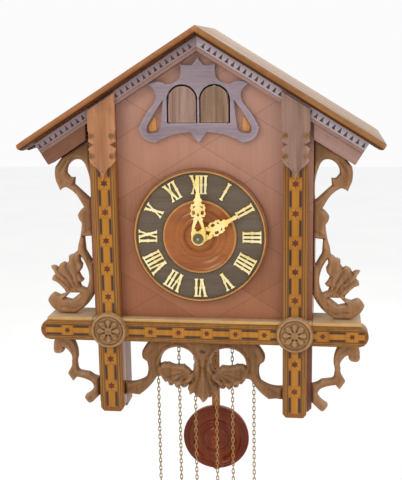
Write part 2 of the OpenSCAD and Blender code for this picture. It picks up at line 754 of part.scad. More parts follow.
module chain_weight_left() color("darkgoldenrod") at_dial() weight_strand(pull_x[0]);
module chain_weight_centre() color("darkgoldenrod") at_dial() weight_strand(pull_x[1]);
module chain_weight_right() color("darkgoldenrod") at_dial() weight_strand(pull_x[2]);
module cone_weight_left() color("saddlebrown") at_dial() cone_weight(pull_x[0]);
module cone_weight_centre() color("saddlebrown") at_dial() cone_weight(pull_x[1]);
module cone_weight_right() color("saddlebrown") at_dial() cone_weight(pull_x[2]);
module chain_ring_left() color("darkgoldenrod") at_dial() ring_strand(ring_x[0]);
module chain_ring_centre() color("darkgoldenrod") at_dial() ring_strand(ring_x[1]);
module chain_ring_right() color("darkgoldenrod") at_dial() ring_strand(ring_x[2]);

// ---- Pendulum ----

bob_z = verge_z - pend_len;
bob_t = 18;

module pendulum_rod() color("peru") at_dial() difference() {
    board(pend_y - rod_t / 2, rod_t) {
        rod_end = bob_z - bob_d / 2 - 4;
        translate([-rod_w / 2, rod_end]) square([rod_w, verge_z - rod_end]);
        translate([0, verge_z]) circle(r = rod_w / 2);
    }
    bar(0, verge_z, pivot_r + fit, pend_y - rod_t, pend_y + rod_t);
}

module pendulum_bob() color("maroon") at_dial() difference() {
    r = bob_d / 2;
    translate([0, 0, bob_z]) turned(pend_y + rod_t / 2 + 2) polygon([[0, 0], [r - 3, 0], [r, 3],
        [r, 7], [r - 3, 10], [r - 7, 10], [r - 10, 8], [22, 12], [19, 14], [16, 12.5],
        [8, bob_t - 1], [0, bob_t]]);
    translate([-rod_w / 2 - fit, pend_y - rod_t / 2 - fit, bob_z - r - 1])
        cube([rod_w + 2 * fit, rod_t + 2 * fit, bob_d + 2]);
}

// ---- Sound ----

// Pipe, base board and folded leather of one bellows, its pipe's middle at x and y
module bellows_box(x, y, pipe_h) {
    w = bellows_w;
    translate([x - 12, y - 12, base_z - pipe_h]) difference() {
        cube([24, 24, pipe_h]);
        translate([3, 3, -1]) cube([18, 18, pipe_h - 8]);
    }
    translate([x - w / 2, y - bellows_l / 2, base_z]) cube([w, bellows_l, 4]);
    translate([x - w / 2 + 1.5, y - bellows_l / 2 + 1.5, base_z + 4])
        cube([w - 3, bellows_l - 3, fold_t]);
}

// Lid of a bellows, hinged along its rear edge
module bellows_lid(x, y) translate([x - bellows_w / 2, y - bellows_l / 2, base_z + 4 + fold_t + 0.2]) {
    cube([bellows_w, bellows_l, lid_t]);
    translate([0, bellows_l, lid_t / 2]) rotate([0, 90, 0]) cylinder(r = lid_t / 2, h = bellows_w);
}

cuckoo_bellows_y = post_back_y + 2 + bellows_l / 2;
quail_bellows_y = plate_rear_y + plate_t + 4 + bellows_l / 2;

module bellows() color("burlywood") at_dial() {
    bellows_box(-cuckoo_bellows_x, cuckoo_bellows_y, 80);
    bellows_box(cuckoo_bellows_x, cuckoo_bellows_y, 105);
    bellows_box(quail_bellows_x, quail_bellows_y, 60);
}

module bellows_lid_high() color("burlywood") at_dial()
    bellows_lid(-cuckoo_bellows_x, cuckoo_bellows_y);
module bellows_lid_low() color("burlywood") at_dial()
    bellows_lid(cuckoo_bellows_x, cuckoo_bellows_y);
module bellows_lid_quail() color("burlywood") at_dial()
    bellows_lid(quail_bellows_x, quail_bellows_y);

gong_z = -38;
gong_r = 38;
gong_turns = 3;
gong_y = back_y - 11;
hammer_x = 46;
hammer_z = 14;
hammer_y = gong_y + 1;

module gong() color("darkslateblue") at_dial() {
    bar(0, gong_z, 3, gong_y - 2, back_y + 5);
    steps = 24 * gong_turns;
    pitch = (gong_r - 4) / gong_turns;
    translate([0, 0, gong_z]) board(gong_y, 4) polygon(concat(
        [for (i = [0 : steps]) let(a = i * 15, r = 2.4 + pitch * i / 24) r * [cos(a), sin(a)]],
        [for (i = [steps : -1 : 0]) let(a = i * 15, r = pitch * i / 24) r * [cos(a), sin(a)]]));
}

module gong_hammer() color("silver") at_dial() {
    board(hammer_y, 3) difference() {
        union() {
            translate([hammer_x, hammer_z]) circle(r = 4);
            translate([hammer_x - 1.2, gong_z]) square([2.4, hammer_z - gong_z]);
        }
        translate([hammer_x, hammer_z]) circle(r = 1.5 + fit);
    }
    translate([hammer_x, hammer_y + 1.5, gong_z]) rotate([0, 90, 0])
        cylinder(r = 4, h = 10, center = true);
}

back_board();
rear_door();
side_panels();
case_floor();
front_panel();
roof_left();
roof_right();
gable_trim();
corner_posts();
beam();
shelf();
pilasters();
post_caps();
rosettes();
side_bracket_left();
side_bracket_right();
lower_brackets();
apron();
door_surround();
bird_door_left();
bird_door_right();
bird_shelf();
cuckoo();
quail();
dial_rim();
dial_plate();
numerals();
hour_hand();
minute_hand();
hand_nut();
hour_pipe();
minute_wheel();
cannon_pinion();
movement_frame();
great_wheel();
centre_wheel();
third_wheel();
escape_wheel();
verge();
cuckoo_great_wheel();
cuckoo_pin_wheel();
quail_great_wheel();
quail_pin_wheel();
chain_weight_left();
chain_weight_centre();
chain_weight_right();
cone_weight_left();
cone_weight_centre();
cone_weight_right();
chain_ring_left();
chain_ring_centre();
chain_ring_right();
pendulum_rod();
pendulum_bob();
bellows();
bellows_lid_high();
bellows_lid_low();
bellows_lid_quail();
gong();
gong_hammer();
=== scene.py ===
"""A carved wall clock with two bird doors, three chain trains and a turned pendulum bob.

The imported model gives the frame: every piece below is in metres in that frame, and the
sizes in the classes are millimetres about the dial arbor, x to the right and z up.
"""

import logging
import math
from dataclasses import dataclass, field
from enum import Enum
from typing import Callable, Iterable, Sequence

import bmesh
import bpy
import numpy as np
from mathutils import Matrix, Vector
from mathutils.geometry import delaunay_2d_cdt

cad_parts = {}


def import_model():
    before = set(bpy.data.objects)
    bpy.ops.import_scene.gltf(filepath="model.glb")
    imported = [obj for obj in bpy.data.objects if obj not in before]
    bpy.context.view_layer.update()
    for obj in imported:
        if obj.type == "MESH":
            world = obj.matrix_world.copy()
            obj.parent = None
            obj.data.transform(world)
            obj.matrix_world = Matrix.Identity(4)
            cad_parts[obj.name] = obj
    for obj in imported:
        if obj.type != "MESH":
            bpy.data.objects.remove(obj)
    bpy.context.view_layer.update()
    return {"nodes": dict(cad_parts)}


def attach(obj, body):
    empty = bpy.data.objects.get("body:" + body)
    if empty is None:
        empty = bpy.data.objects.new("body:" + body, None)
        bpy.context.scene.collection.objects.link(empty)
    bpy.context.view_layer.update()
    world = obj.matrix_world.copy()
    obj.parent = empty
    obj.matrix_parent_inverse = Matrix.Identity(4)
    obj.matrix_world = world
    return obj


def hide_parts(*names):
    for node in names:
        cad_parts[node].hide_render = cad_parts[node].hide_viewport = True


log = logging.getLogger("clock")

Point = tuple[float, float]
Row = tuple[float, ...]
Colour = tuple[float, float, float]
Corner = tuple[float, float, float]
Socket = bpy.types.NodeSocket
Tree = bpy.types.NodeTree
Nodes = dict[str, bpy.types.Object]
Carver = Callable[[np.ndarray, np.ndarray, np.ndarray], np.ndarray]

MM = 0.001
EDGE_ROWS = (0.45, 1.1, 2.0)
SHARP_EDGE = 32.0
ARBOR_Z = -172.0
FACE_Y = -165.0
FRONT_Y = -179.0
INNER_Y = -157.0
ROOF_PITCH = math.radians(31.9)
PITCH_COS, PITCH_SIN, PITCH_TAN = math.cos(ROOF_PITCH), math.sin(ROOF_PITCH), math.tan(ROOF_PITCH)
RIDGE_H = 253.0
ROOF_T = 12.0
SHELF_Z = -106.0
BEAM_TOP = -110.0
BEAM_BOTTOM = -136.0
POST_FOOT = -231.0
CASE_X = 138.0
PILASTER_X = 117.0
FASCIA_DROP = 29.4
ROOF_WIDTH = 445.0
BIRD_FLOOR = 139.0


# ---- outlines ----


def bow(a: Point, b: Point, sag: float, steps: int = 8) -> list[Point]:
    """Points on a bowed line.

    Args:
        a: Where the line starts.
        b: Where it ends; this point is left out.
        sag: How far it bows to the left of its way.
        steps: How many points it gets.

    Returns:
        The points from a up to b.
    """
    if sag == 0:
        return [a]
    dx, dz = b[0] - a[0], b[1] - a[1]
    size = math.hypot(dx, dz)
    sx, sz = -dz / size, dx / size
    rows = []
    for i in range(steps):
        t = i / steps
        k = 4 * sag * t * (1 - t)
        rows.append((a[0] + t * dx + k * sx, a[1] + t * dz + k * sz))
    return rows


def outline(rows: Sequence[Row], closed: bool = True) -> list[Point]:
    """A line through rows of x, z and, where the way to the next row is bowed, its sag.

    Args:
        rows: The corner points with their sags.
        closed: Whether the last row leads back to the first.

    Returns:
        The points of the line.
    """
    points: list[Point] = []
    count = len(rows) if closed else len(rows) - 1
    for i in range(count):
        a, b = rows[i], rows[(i + 1) % len(rows)]
        points += bow(a[:2], b[:2], a[2] if len(a) > 2 else 0)
    if not closed:
        points.append(rows[-1][:2])
    return points


def both_halves(rows: Sequence[Row]) -> list[Point]:
    """A symmetrical outline from the rows of its right half, from middle line to middle line."""
    right = outline(rows, closed=False)
    left = [(-x, z) for x, z in reversed(right[1:-1])]
    return right + left


def mirrored(points: Iterable[Point]) -> list[Point]:
    """The same outline on the left side, turning the same way round."""
    return [(-x, z) for x, z in reversed(list(points))]


def around(steps: int) -> list[float]:
    """The angles of one full turn in even steps."""
    return [2 * math.pi * k / steps for k in range(steps)]


def circle(x: float, z: float, r: float, steps: int = 32) -> list[Point]:
    """A circle as points, about a middle at x and z."""
    return [(x + r * math.cos(a), z + r * math.sin(a)) for a in around(steps)]


def turned_by(points: Iterable[Point], degrees: float, about: Point = (0.0, 0.0)) -> list[Point]:
    """Points turned about a point, clockwise as seen from the front for a positive angle."""
    c, s = math.cos(math.radians(-degrees)), math.sin(math.radians(-degrees))
    ax, az = about
    return [(ax + (x - ax) * c - (z - az) * s, az + (x - ax) * s + (z - az) * c) for x, z in points]


def slope_z(x: float, drop: float) -> float:
    """Height, at a distance x from the middle, of a line drop below the top of the roof."""
    return RIDGE_H - abs(x) * PITCH_TAN - drop


# ---- shapes ----


@dataclass
class Shape:
    """Corners in millimetres, faces, and the number of each face's finish."""

    verts: list[Corner] = field(default_factory=list)
    faces: list[tuple[int, ...]] = field(default_factory=list)
    finish: list[int] = field(default_factory=list)

    def add(self, other: "Shape", number: int | None = None) -> "Shape":
        """Takes in another shape.

        Args:
            other: The shape to take in.
            number: The finish for all its faces, or None to keep its own.

        Returns:
            This shape.
        """
        base = len(self.verts)
        self.verts += other.verts
        self.faces += [tuple(i + base for i in f) for f in other.faces]
        self.finish += other.finish if number is None else [number] * len(other.faces)
        return self

    def mapped(self, change: Callable[[float, float, float], Corner],
               flip: bool = False) -> "Shape":
        """A copy with every corner changed, its faces turned round where the change mirrors it."""
        faces = [tuple(reversed(f)) for f in self.faces] if flip else list(self.faces)
        return Shape([change(*v) for v in self.verts], faces, list(self.finish))

    def mirror(self) -> "Shape":
        """The same shape on the other side of the middle plane."""
        return self.mapped(lambda x, y, z: (-x, y, z), flip=True)

    def moved(self, dx: float = 0, dy: float = 0, dz: float = 0) -> "Shape":
        """A copy moved by dx, dy and dz."""
        return self.mapped(lambda x, y, z: (x + dx, y + dy, z + dz))


def grid_shape(rows: Sequence[Sequence[Corner]], wrap_u: bool = True,
               wrap_v: bool = False, caps: bool = False) -> Shape:
    """A surface over rows of corners.

    Args:
        rows: Rows of corners, all of one length.
        wrap_u: Whether each row closes on itself.
        wrap_v: Whether the last row joins the first.
        caps: Whether the first and last row are closed by a face.

    Returns:
        The surface.
    """
    n, m = len(rows), len(rows[0])
    shape = Shape([p for row in rows for p in row])
    for i in range(n if wrap_v else n - 1):
        for j in range(m if wrap_u else m - 1):
            a, b = i * m + j, i * m + (j + 1) % m
            c, d = ((i + 1) % n) * m + (j + 1) % m, ((i + 1) % n) * m + j
            shape.faces.append((a, b, c, d))
    if caps:
        shape.faces.append(tuple(reversed(range(m))))
        shape.faces.append(tuple(range((n - 1) * m, n * m)))
    shape.finish = [0] * len(shape.faces)
    return shape


def lathe(profile: Sequence[Row], y: float, x: float = 0, z: float = 0, steps: int = 128) -> Shape:
    """A turned piece whose axis points to the front.

    Args:
        profile: Rows of radius, height in front of the plane y, and sag if there is one.
        y: The plane the heights start from.
        x, z: Where the axis stands.
        steps: Corners round the axis.

    Returns:
        The turned surface, closed.
    """
    rows = []
    for r, h in outline(profile, closed=False):
        r = max(r, 0.01)
        rows.append([(x + r * math.cos(a), y - h, z + r * math.sin(a)) for a in around(steps)])
    return grid_shape(rows, caps=True)


def tube(path: Sequence[Corner], radius: float | Sequence[float],
         closed: bool = False, steps: int = 8) -> Shape:
    """A round wire along a path.

    Args:
        path: The points of its middle line.
        radius: Its radius, or one for each point.
        closed: Whether its end joins its start.
        steps: Corners round the wire.

    Returns:
        The wire, with closed ends.
    """
    points = [Vector(p) for p in path]
    n = len(points)
    radii = [radius] * n if isinstance(radius, (int, float)) else list(radius)
    ahead = [((points[(i + 1) % n] if closed or i < n - 1 else points[i])
              - (points[i - 1] if closed or i else points[i])).normalized() for i in range(n)]
    side = ahead[0].orthogonal().normalized()
    rows = []
    for i in range(n):
        side = (side - side.dot(ahead[i]) * ahead[i]).normalized()
        other = ahead[i].cross(side)
        rows.append([tuple(points[i] + radii[i] * (math.cos(a) * side + math.sin(a) * other))
                     for a in around(steps)])
    return grid_shape(rows, wrap_v=closed, caps=not closed)


def prism(points: Sequence[Point], y_front: float, y_back: float, edge: float = 0.6,
          segments: int = 2) -> Shape:
    """A board of an even thickness with rounded edges.

    Args:
        points: Its outline as seen from the front.
        y_front, y_back: Its front and back planes.
        edge: How far its edges are rounded.
        segments: Steps across a rounded edge.

    Returns:
        The board.
    """
    work = bmesh.new()
    low, high = min(y_front, y_back), max(y_front, y_back)
    front = [work.verts.new((x, low, z)) for x, z in points]
    back = [work.verts.new((x, high, z)) for x, z in points]
    n = len(points)
    work.faces.new(front)
    work.faces.new(list(reversed(back)))
    for i in range(n):
        work.faces.new((front[(i + 1) % n], front[i], back[i], back[(i + 1) % n]))
    bmesh.ops.recalc_face_normals(work, faces=work.faces)
    if edge > 0:
        sharp = [e for e in work.edges if e.calc_face_angle(0) > math.radians(25)]
        bmesh.ops.bevel(work, geom=sharp, offset=edge, segments=segments, profile=0.5,
                        affect="EDGES", clamp_overlap=True)
    return from_bmesh(work)


def box_shape(lo: Sequence[float], hi: Sequence[float], edge: float = 0.8) -> Shape:
    """A block between two corners with rounded edges."""
    return prism([(lo[0], lo[2]), (hi[0], lo[2]), (hi[0], hi[2]), (lo[0], hi[2])], lo[1], hi[1],
                 edge)


def from_bmesh(work: bmesh.types.BMesh) -> Shape:
    """The shape of a working mesh, which is freed."""
    work.verts.index_update()
    shape = Shape([tuple(v.co) for v in work.verts],
                  [tuple(v.index for v in f.verts) for f in work.faces])
    shape.finish = [0] * len(shape.faces)
    work.free()
    return shape


def far_from_lines(x: np.ndarray, z: np.ndarray, a: np.ndarray, b: np.ndarray) -> np.ndarray:
    """Distance of each point from the nearest of some straight pieces.

    Args:
        x, z: The points.
        a, b: Starts and ends of the pieces, one per row.

    Returns:
        The distances.
    """
    best = np.full(len(x), 1e9)
    for (ax, az), (bx, bz) in zip(a, b):
        dx, dz = bx - ax, bz - az
        size = dx * dx + dz * dz
        if size < 1e-12:
            continue
        t = np.clip(((x - ax) * dx + (z - az) * dz) / size, 0, 1)
        best = np.minimum(best, np.hypot(x - ax - t * dx, z - az - t * dz))
    return best


def inside(x: np.ndarray, z: np.ndarray, loops: Sequence[Sequence[Point]]) -> np.ndarray:
    """Whether each point lies in the wood of some loops, where a loop in a loop is a hole."""
    odd = np.zeros(len(x), bool)
    for loop in loops:
        for i, (ax, az) in enumerate(loop):
            bx, bz = loop[(i + 1) % len(loop)]
            if az == bz:
                continue
            crossed = (z > min(az, bz)) & (z <= max(az, bz))
            odd ^= crossed & (x < ax + (z - az) * (bx - ax) / (bz - az))
    return odd


@dataclass
class Vein:
    """A ridge, or a groove where its height is negative, carved along a line."""

    line: list[Point]
    width: float
    height: float

    def lift(self, x: np.ndarray, z: np.ndarray) -> np.ndarray:
        """How far it lifts the face at each point."""
        points = np.array(self.line, float)
        away = far_from_lines(x, z, points[:-1], points[1:])
        return self.height * np.exp(-(away / self.width) ** 2)


@dataclass
class Carving:
    """A board sawn to an outline whose edges are rounded over and whose face is carved."""

    loops: list[list[Point]]
    back_y: float
    full: float
    edge: float = 3.0
    reach: float = 4.0
    pitch: float = 2.0
    veins: list[Vein] = field(default_factory=list)
    extra: Carver | None = None

    def height(self, x: np.ndarray, z: np.ndarray, d: np.ndarray) -> np.ndarray:
        """Thickness of the wood at points that lie d from the nearest edge."""
        t = np.clip(d / self.reach, 0, 1)
        h = self.edge + (self.full - self.edge) * np.sqrt(np.clip(1 - (1 - t) ** 2, 0, 1))
        fade = np.clip(d / 1.5, 0, 1)
        for vein in self.veins:
            h = h + vein.lift(x, z) * fade
        if self.extra is not None:
            h = h + self.extra(x, z, d) * fade
        return np.maximum(h, 0.6)

    def shape(self) -> Shape:
        """Cuts the outline into small faces and lifts them to the carved face."""
        loops = [self._even(loop) for loop in self.loops]
        a = np.array([p for loop in loops for p in loop], float)
        b = np.array([p for loop in loops for p in loop[1:] + loop[:1]], float)
        lo, hi = a.min(0), a.max(0)
        inner: list[np.ndarray] = []
        for step in EDGE_ROWS:
            way = b - a
            size = np.hypot(way[:, 0], way[:, 1])[:, None] + 1e-9
            middle = (a + b) / 2
            normal = np.stack([-way[:, 1], way[:, 0]], 1) / size
            for sign in (-1, 1):
                inner.append(middle + sign * step * normal)
        gx, gz = np.meshgrid(np.arange(lo[0], hi[0], self.pitch),
                             np.arange(lo[1], hi[1], self.pitch * 0.866))
        gx = gx + (np.arange(gx.shape[0])[:, None] % 2) * self.pitch / 2
        near = np.concatenate(inner)
        far_d = far_from_lines(near[:, 0], near[:, 1], a, b)
        steps = np.repeat(EDGE_ROWS, 2 * len(a))
        near = near[(far_d > steps * 0.93) & inside(near[:, 0], near[:, 1], loops)]
        keep, taken = [], set()
        for p in near:
            cell = (round(p[0] / 0.8), round(p[1] / 0.8))
            if cell not in taken:
                taken.add(cell)
                keep.append(p)
        wide = np.stack([gx.ravel(), gz.ravel()], 1)
        wide_d = far_from_lines(wide[:, 0], wide[:, 1], a, b)
        wide = wide[(wide_d > EDGE_ROWS[-1] + self.pitch * 0.35)
                    & inside(wide[:, 0], wide[:, 1], loops)]
        points = [Vector(p) for p in np.concatenate([a, np.array(keep).reshape(-1, 2), wide])]
        edges, base = [], 0
        for loop in loops:
            edges += [(base + i, base + (i + 1) % len(loop)) for i in range(len(loop))]
            base += len(loop)
        verts, _, faces, _, _, _ = delaunay_2d_cdt(points, edges, [], 0, 1e-5)
        flat = np.array([tuple(v) for v in verts], float)
        tri = np.array([f for f in faces if len(f) == 3], int)
        middle = flat[tri].mean(1)
        tri = tri[inside(middle[:, 0], middle[:, 1], loops)]
        d = far_from_lines(flat[:, 0], flat[:, 1], a, b)
        h = self.height(flat[:, 0], flat[:, 1], np.where(d < 1e-4, 0, d))
        n = len(flat)
        shape = Shape([(x, self.back_y - t, z) for (x, z), t in zip(flat, h)]
                      + [(x, self.back_y, z) for x, z in flat])
        count: dict[tuple[int, int], int] = {}
        for f in tri:
            p, q, r = (int(i) for i in f)
            if (flat[q] - flat[p])[0] * (flat[r] - flat[p])[1] \
                    - (flat[q] - flat[p])[1] * (flat[r] - flat[p])[0] < 0:
                q, r = r, q
            shape.faces.append((p, q, r))
            shape.faces.append((p + n, r + n, q + n))
            for e in ((p, q), (q, r), (r, p)):
                count[e] = count.get(e, 0) + 1
        for (p, q) in count:
            if (q, p) not in count:
                shape.faces.append((q, p, p + n, q + n))
        shape.finish = [0] * len(shape.faces)
        return shape

    def _even(self, loop: Sequence[Point]) -> list[Point]:
        """The loop with its long straight stretches cut into pieces of about the pitch."""
        rows: list[Point] = []
        for i, (ax, az) in enumerate(loop):
            bx, bz = loop[(i + 1) % len(loop)]
            size = math.hypot(bx - ax, bz - az)
            if size < 1e-4:
                continue
            cuts = max(1, round(size / self.pitch))
            rows += [(ax + (bx - ax) * k / cuts, az + (bz - az) * k / cuts) for k in range(cuts)]
        return rows


def piece(name: str, shape: Shape, finishes: Sequence["Finish"], body: str,
          replaces: Sequence[str] = (), sharp: float = SHARP_EDGE) -> bpy.types.Object:
    """Makes an object of a shape and joins it to the frame.

    Args:
        name: The name of the object.
        shape: Its shape, in millimetres about the dial arbor.
        finishes: Its finishes, by number.
        body: The body it moves with.
        replaces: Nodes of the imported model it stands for.
        sharp: Faces that meet at more than this many degrees keep a crisp edge.

    Returns:
        The object.
    """
    mesh = bpy.data.meshes.new(name)
    mesh.from_pydata([(x * MM, y * MM, (z + ARBOR_Z) * MM) for x, y, z in shape.verts], [],
                     shape.faces)
    mesh.validate()
    for finish in finishes:
        mesh.materials.append(finish.material())
    if len(mesh.polygons) == len(shape.finish):
        mesh.polygons.foreach_set("material_index", shape.finish)
    mesh.polygons.foreach_set("use_smooth", [True] * len(mesh.polygons))
    mesh.set_sharp_from_angle(angle=math.radians(sharp))
    work = bmesh.new()
    work.from_mesh(mesh)
    bmesh.ops.recalc_face_normals(work, faces=work.faces)
    work.to_mesh(mesh)
    work.free()
    mesh.update()
    obj = bpy.data.objects.new(name, mesh)
    bpy.context.scene.collection.objects.link(obj)
    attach(obj, body)
    if replaces:
        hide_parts(*replaces)
    log.info("%s: %d faces", name, len(mesh.polygons))
    return obj


def pair(name: str, right: Shape, finishes: Sequence["Finish"],
         nodes: Sequence[Sequence[str]], sharp: float = SHARP_EDGE,
         left: Sequence["Finish"] | None = None) -> None:
    """Makes a piece on the right of the case and its mirrored fellow on the left.

    Args:
        name: Their name without the side.
        right: The shape of the right one.
        finishes: The finishes of the right one.
        nodes: The nodes that the right one and the left one stand for.
        sharp: Faces that meet at more than this many degrees keep a crisp edge.
        left: The finishes of the left one, where they differ, as where one wood is given painted
            light on one side and painted shade on the other.
    """
    piece(f"{name}_right", right, finishes, "case", nodes[0], sharp)
    piece(f"{name}_left", right.mirror(), left or finishes, "case", nodes[1], sharp)


# ---- finishes ----


def srgb(r: float, g: float, b: float) -> Colour:
    """A colour from its usual 0 to 255 values, as the shaders want it."""
    return tuple((c / 255 / 12.92 if c / 255 <= 0.04045 else ((c / 255 + 0.055) / 1.055) ** 2.4)
                 for c in (r, g, b))


@dataclass
class Net:
    """Adds nodes to a tree and joins them."""

    tree: Tree

    def node(self, kind: str, inputs: dict | None = None, **settings: object) -> bpy.types.Node:
        """Adds a node.

        Args:
            kind: The node's type.
            inputs: Values or output sockets for its input sockets, by name or number.
            settings: Values for its own properties.

        Returns:
            The node.
        """
        made = self.tree.nodes.new(kind)
        for key, value in settings.items():
            setattr(made, key, value)
        for key, value in (inputs or {}).items():
            if isinstance(value, Socket):
                self.tree.links.new(value, made.inputs[key])
            elif isinstance(value, tuple) and len(value) == 3 \
                    and made.inputs[key].type == "RGBA":
                made.inputs[key].default_value = (*value, 1.0)
            else:
                made.inputs[key].default_value = value
        return made

    def sum(self, kind: str, a: object, b: object = 0.0, clamp: bool = False) -> Socket:
        """The result of one step of arithmetic on two values or sockets."""
        return self.node("ShaderNodeMath", {0: a, 1: b}, operation=kind, use_clamp=clamp).outputs[0]

    def times(self, a: object, b: object) -> Socket:
        """The product of two values or sockets."""
        return self.sum("MULTIPLY", a, b)

    def plus(self, a: object, b: object, clamp: bool = False) -> Socket:
        """The sum of two values or sockets."""
        return self.sum("ADD", a, b, clamp)

    def masked(self, group: Tree, place: Socket, amount: float) -> Socket:
        """The mask of one of the shared effects, at a given amount."""
        return self.node("ShaderNodeGroup", {"Vector": place, "Amount": amount},
                         node_tree=group).outputs["Mask"]

    def bend(self) -> Socket:
        """How sharply the face is bent outwards, with 0.5 for a flat face."""
        return self.node("ShaderNodeNewGeometry").outputs["Pointiness"]

    def blend(self, mask: object, a: object, b: object, kind: str = "MIX") -> Socket:
        """Colour a where the mask is 0, turning into b where it is 1."""
        made = self.tree.nodes.new("ShaderNodeMix")
        made.data_type = "RGBA"
        made.blend_type = kind
        for socket, value in ((made.inputs[0], mask), (made.inputs[6], a), (made.inputs[7], b)):
            if isinstance(value, Socket):
                self.tree.links.new(value, socket)
            elif isinstance(value, tuple):
                socket.default_value = (*value, 1.0)
            else:
                socket.default_value = value
        return made.outputs[2]

    def span(self, value: object, lo: float, hi: float, to_lo: float = 0.0,
             to_hi: float = 1.0) -> Socket:
        """A value moved from one range to another, smoothly and clamped."""
        return self.node("ShaderNodeMapRange", {0: value, 1: lo, 2: hi, 3: to_lo, 4: to_hi},
                         interpolation_type="SMOOTHSTEP").outputs[0]

    def noise(self, vector: object, scale: object, detail: float = 3.0,
              rough: float = 0.55) -> Socket:
        """Cloudy noise at a point, from 0 to 1."""
        return self.node("ShaderNodeTexNoise", {"Vector": vector, "Scale": scale, "Detail": detail,
                                                "Roughness": rough}).outputs[0]

    def stretched(self, vector: object, factors: Corner) -> Socket:
        """A point with each of its numbers multiplied."""
        return self.node("ShaderNodeVectorMath", {0: vector, 1: factors},
                         operation="MULTIPLY").outputs[0]


def new_group(name: str, ins: Sequence[tuple[str, str, object]],
              outs: Sequence[tuple[str, str]]) -> tuple[Tree, Net, dict, dict]:
    """An empty node group with named inputs and outputs.

    Args:
        name: The name of the group.
        ins: Name, kind and first value of each input.
        outs: Name and kind of each output.

    Returns:
        The group, a net over it, its inputs as sockets to read, and its outputs as sockets to feed.
    """
    tree = bpy.data.node_groups.new(name, "ShaderNodeTree")
    for label, kind, value in ins:
        socket = tree.interface.new_socket(name=label, in_out="INPUT", socket_type=kind)
        if value is not None:
            socket.default_value = value
    for label, kind in outs:
        tree.interface.new_socket(name=label, in_out="OUTPUT", socket_type=kind)
    net = Net(tree)
    start, end = net.node("NodeGroupInput"), net.node("NodeGroupOutput")
    return (tree, net, {s.name: s for s in start.outputs if s.name},
            {s.name: s for s in end.inputs if s.name})


class Effects:
    """The shared effects, each made once."""

    made: dict[str, Tree] = {}

    @classmethod
    def timber(cls) -> Tree:
        """Wood with its grain along the first direction: early and late wood, fibres and pores."""
        if "Timber" in cls.made:
            return cls.made["Timber"]
        number, colour = "NodeSocketFloat", "NodeSocketColor"
        tree, net, i, o = new_group(
            "Timber", [("Vector", "NodeSocketVector", None), ("Early", colour, (1, 1, 1, 1)),
                       ("Late", colour, (0, 0, 0, 1)), ("Rings", number, 90.0),
                       ("Figure", number, 0.5), ("Pores", number, 0.5)],
            [("Color", colour), ("Height", number), ("Gloss", number)])
        slow = net.noise(net.stretched(i["Vector"], (0.16, 1.0, 1.0)), 16.0, 2.0)
        sway = net.node("ShaderNodeCombineXYZ", {1: net.times(slow, 0.03),
                                                 2: net.times(slow, 0.02)})
        drift = net.node("ShaderNodeVectorMath", {0: i["Vector"], 1: sway.outputs[0]},
                         operation="ADD").outputs[0]
        rings = net.noise(net.stretched(drift, (0.035, 1.0, 1.0)), i["Rings"], 3.0, 0.6)
        fibre = net.noise(net.stretched(drift, (0.02, 1.0, 1.0)), 620.0, 3.0, 0.6)
        pore = net.noise(net.stretched(i["Vector"], (0.035, 1.0, 1.0)), 1300.0, 1.0)
        pore = net.times(net.span(pore, 0.66, 0.74), i["Pores"])
        share = net.times(net.span(rings, 0.34, 0.66), i["Figure"])
        share = net.plus(share, net.times(net.span(fibre, 0.3, 0.7), 0.28))
        share = net.plus(share, net.times(net.span(slow, 0.35, 0.65), 0.22))
        share = net.plus(share, net.times(pore, 0.45), clamp=True)
        for value, name in ((net.blend(share, i["Early"], i["Late"]), "Color"),
                            (net.sum("SUBTRACT", net.times(fibre, 0.6), pore), "Height"),
                            (net.plus(net.times(fibre, 0.5), net.times(slow, 0.5)), "Gloss")):
            tree.links.new(value, o[name])
        cls.made["Timber"] = tree
        return tree

    @classmethod
    def cover(cls, name: str, lies: Callable[["Net", Socket], Socket]) -> Tree:
        """A group that gives a mask, made once.

        Args:
            name: The name of the group.
            lies: Gives the mask at its full amount from a net and a point.

        Returns:
            The group.
        """
        if name not in cls.made:
            number = "NodeSocketFloat"
            tree, net, i, o = new_group(name, [("Vector", "NodeSocketVector", None),
                                               ("Amount", number, 0.5)], [("Mask", number)])
            tree.links.new(net.times(lies(net, i["Vector"]), i["Amount"]), o["Mask"])
            cls.made[name] = tree
        return cls.made[name]

    @classmethod
    def edge_wear(cls) -> Tree:
        """Where hands and dusters have rubbed the raised edges bright."""
        return cls.cover("Edge Wear", lambda net, place: net.span(
            net.plus(net.bend(), net.times(net.noise(place, 90.0), 0.06)), 0.535, 0.62))

    @classmethod
    def shade_and_grime(cls) -> Tree:
        """Painted shade that darkens the hollows, and cloudy handling marks of dirt."""
        return cls.cover("Grime", lambda net, place: net.plus(
            # Painted shade: where pointiness falls below 0.49 the hollows are darkened.
            net.span(net.bend(), 0.49, 0.43),
            net.times(net.span(net.noise(place, 22.0, 4.0), 0.5, 0.75), 0.3), clamp=True))

    @classmethod
    def dust(cls) -> Tree:
        """Pale dust that lies on faces that look up."""
        def lies(net: Net, place: Socket) -> Socket:
            normal = net.node("ShaderNodeNewGeometry").outputs["Normal"]
            up = net.node("ShaderNodeSeparateXYZ", {0: normal}).outputs[2]
            cloud = net.span(net.noise(place, 60.0, 5.0), 0.3, 0.7, 0.4, 1.0)
            return net.times(net.span(up, 0.35, 0.9), cloud)

        return cls.cover("Dust", lies)


class Grain(Enum):
    """Which way the grain of a piece runs, as the turn that brings it onto the first direction."""

    ACROSS = (0.0, 0.0, 0.0)
    UPRIGHT = (0.0, math.pi / 2, 0.0)
    BACKWARDS = (0.0, 0.0, -math.pi / 2)
    RIGHT_SLOPE = (0.0, -ROOF_PITCH, 0.0)
    LEFT_SLOPE = (0.0, ROOF_PITCH, 0.0)


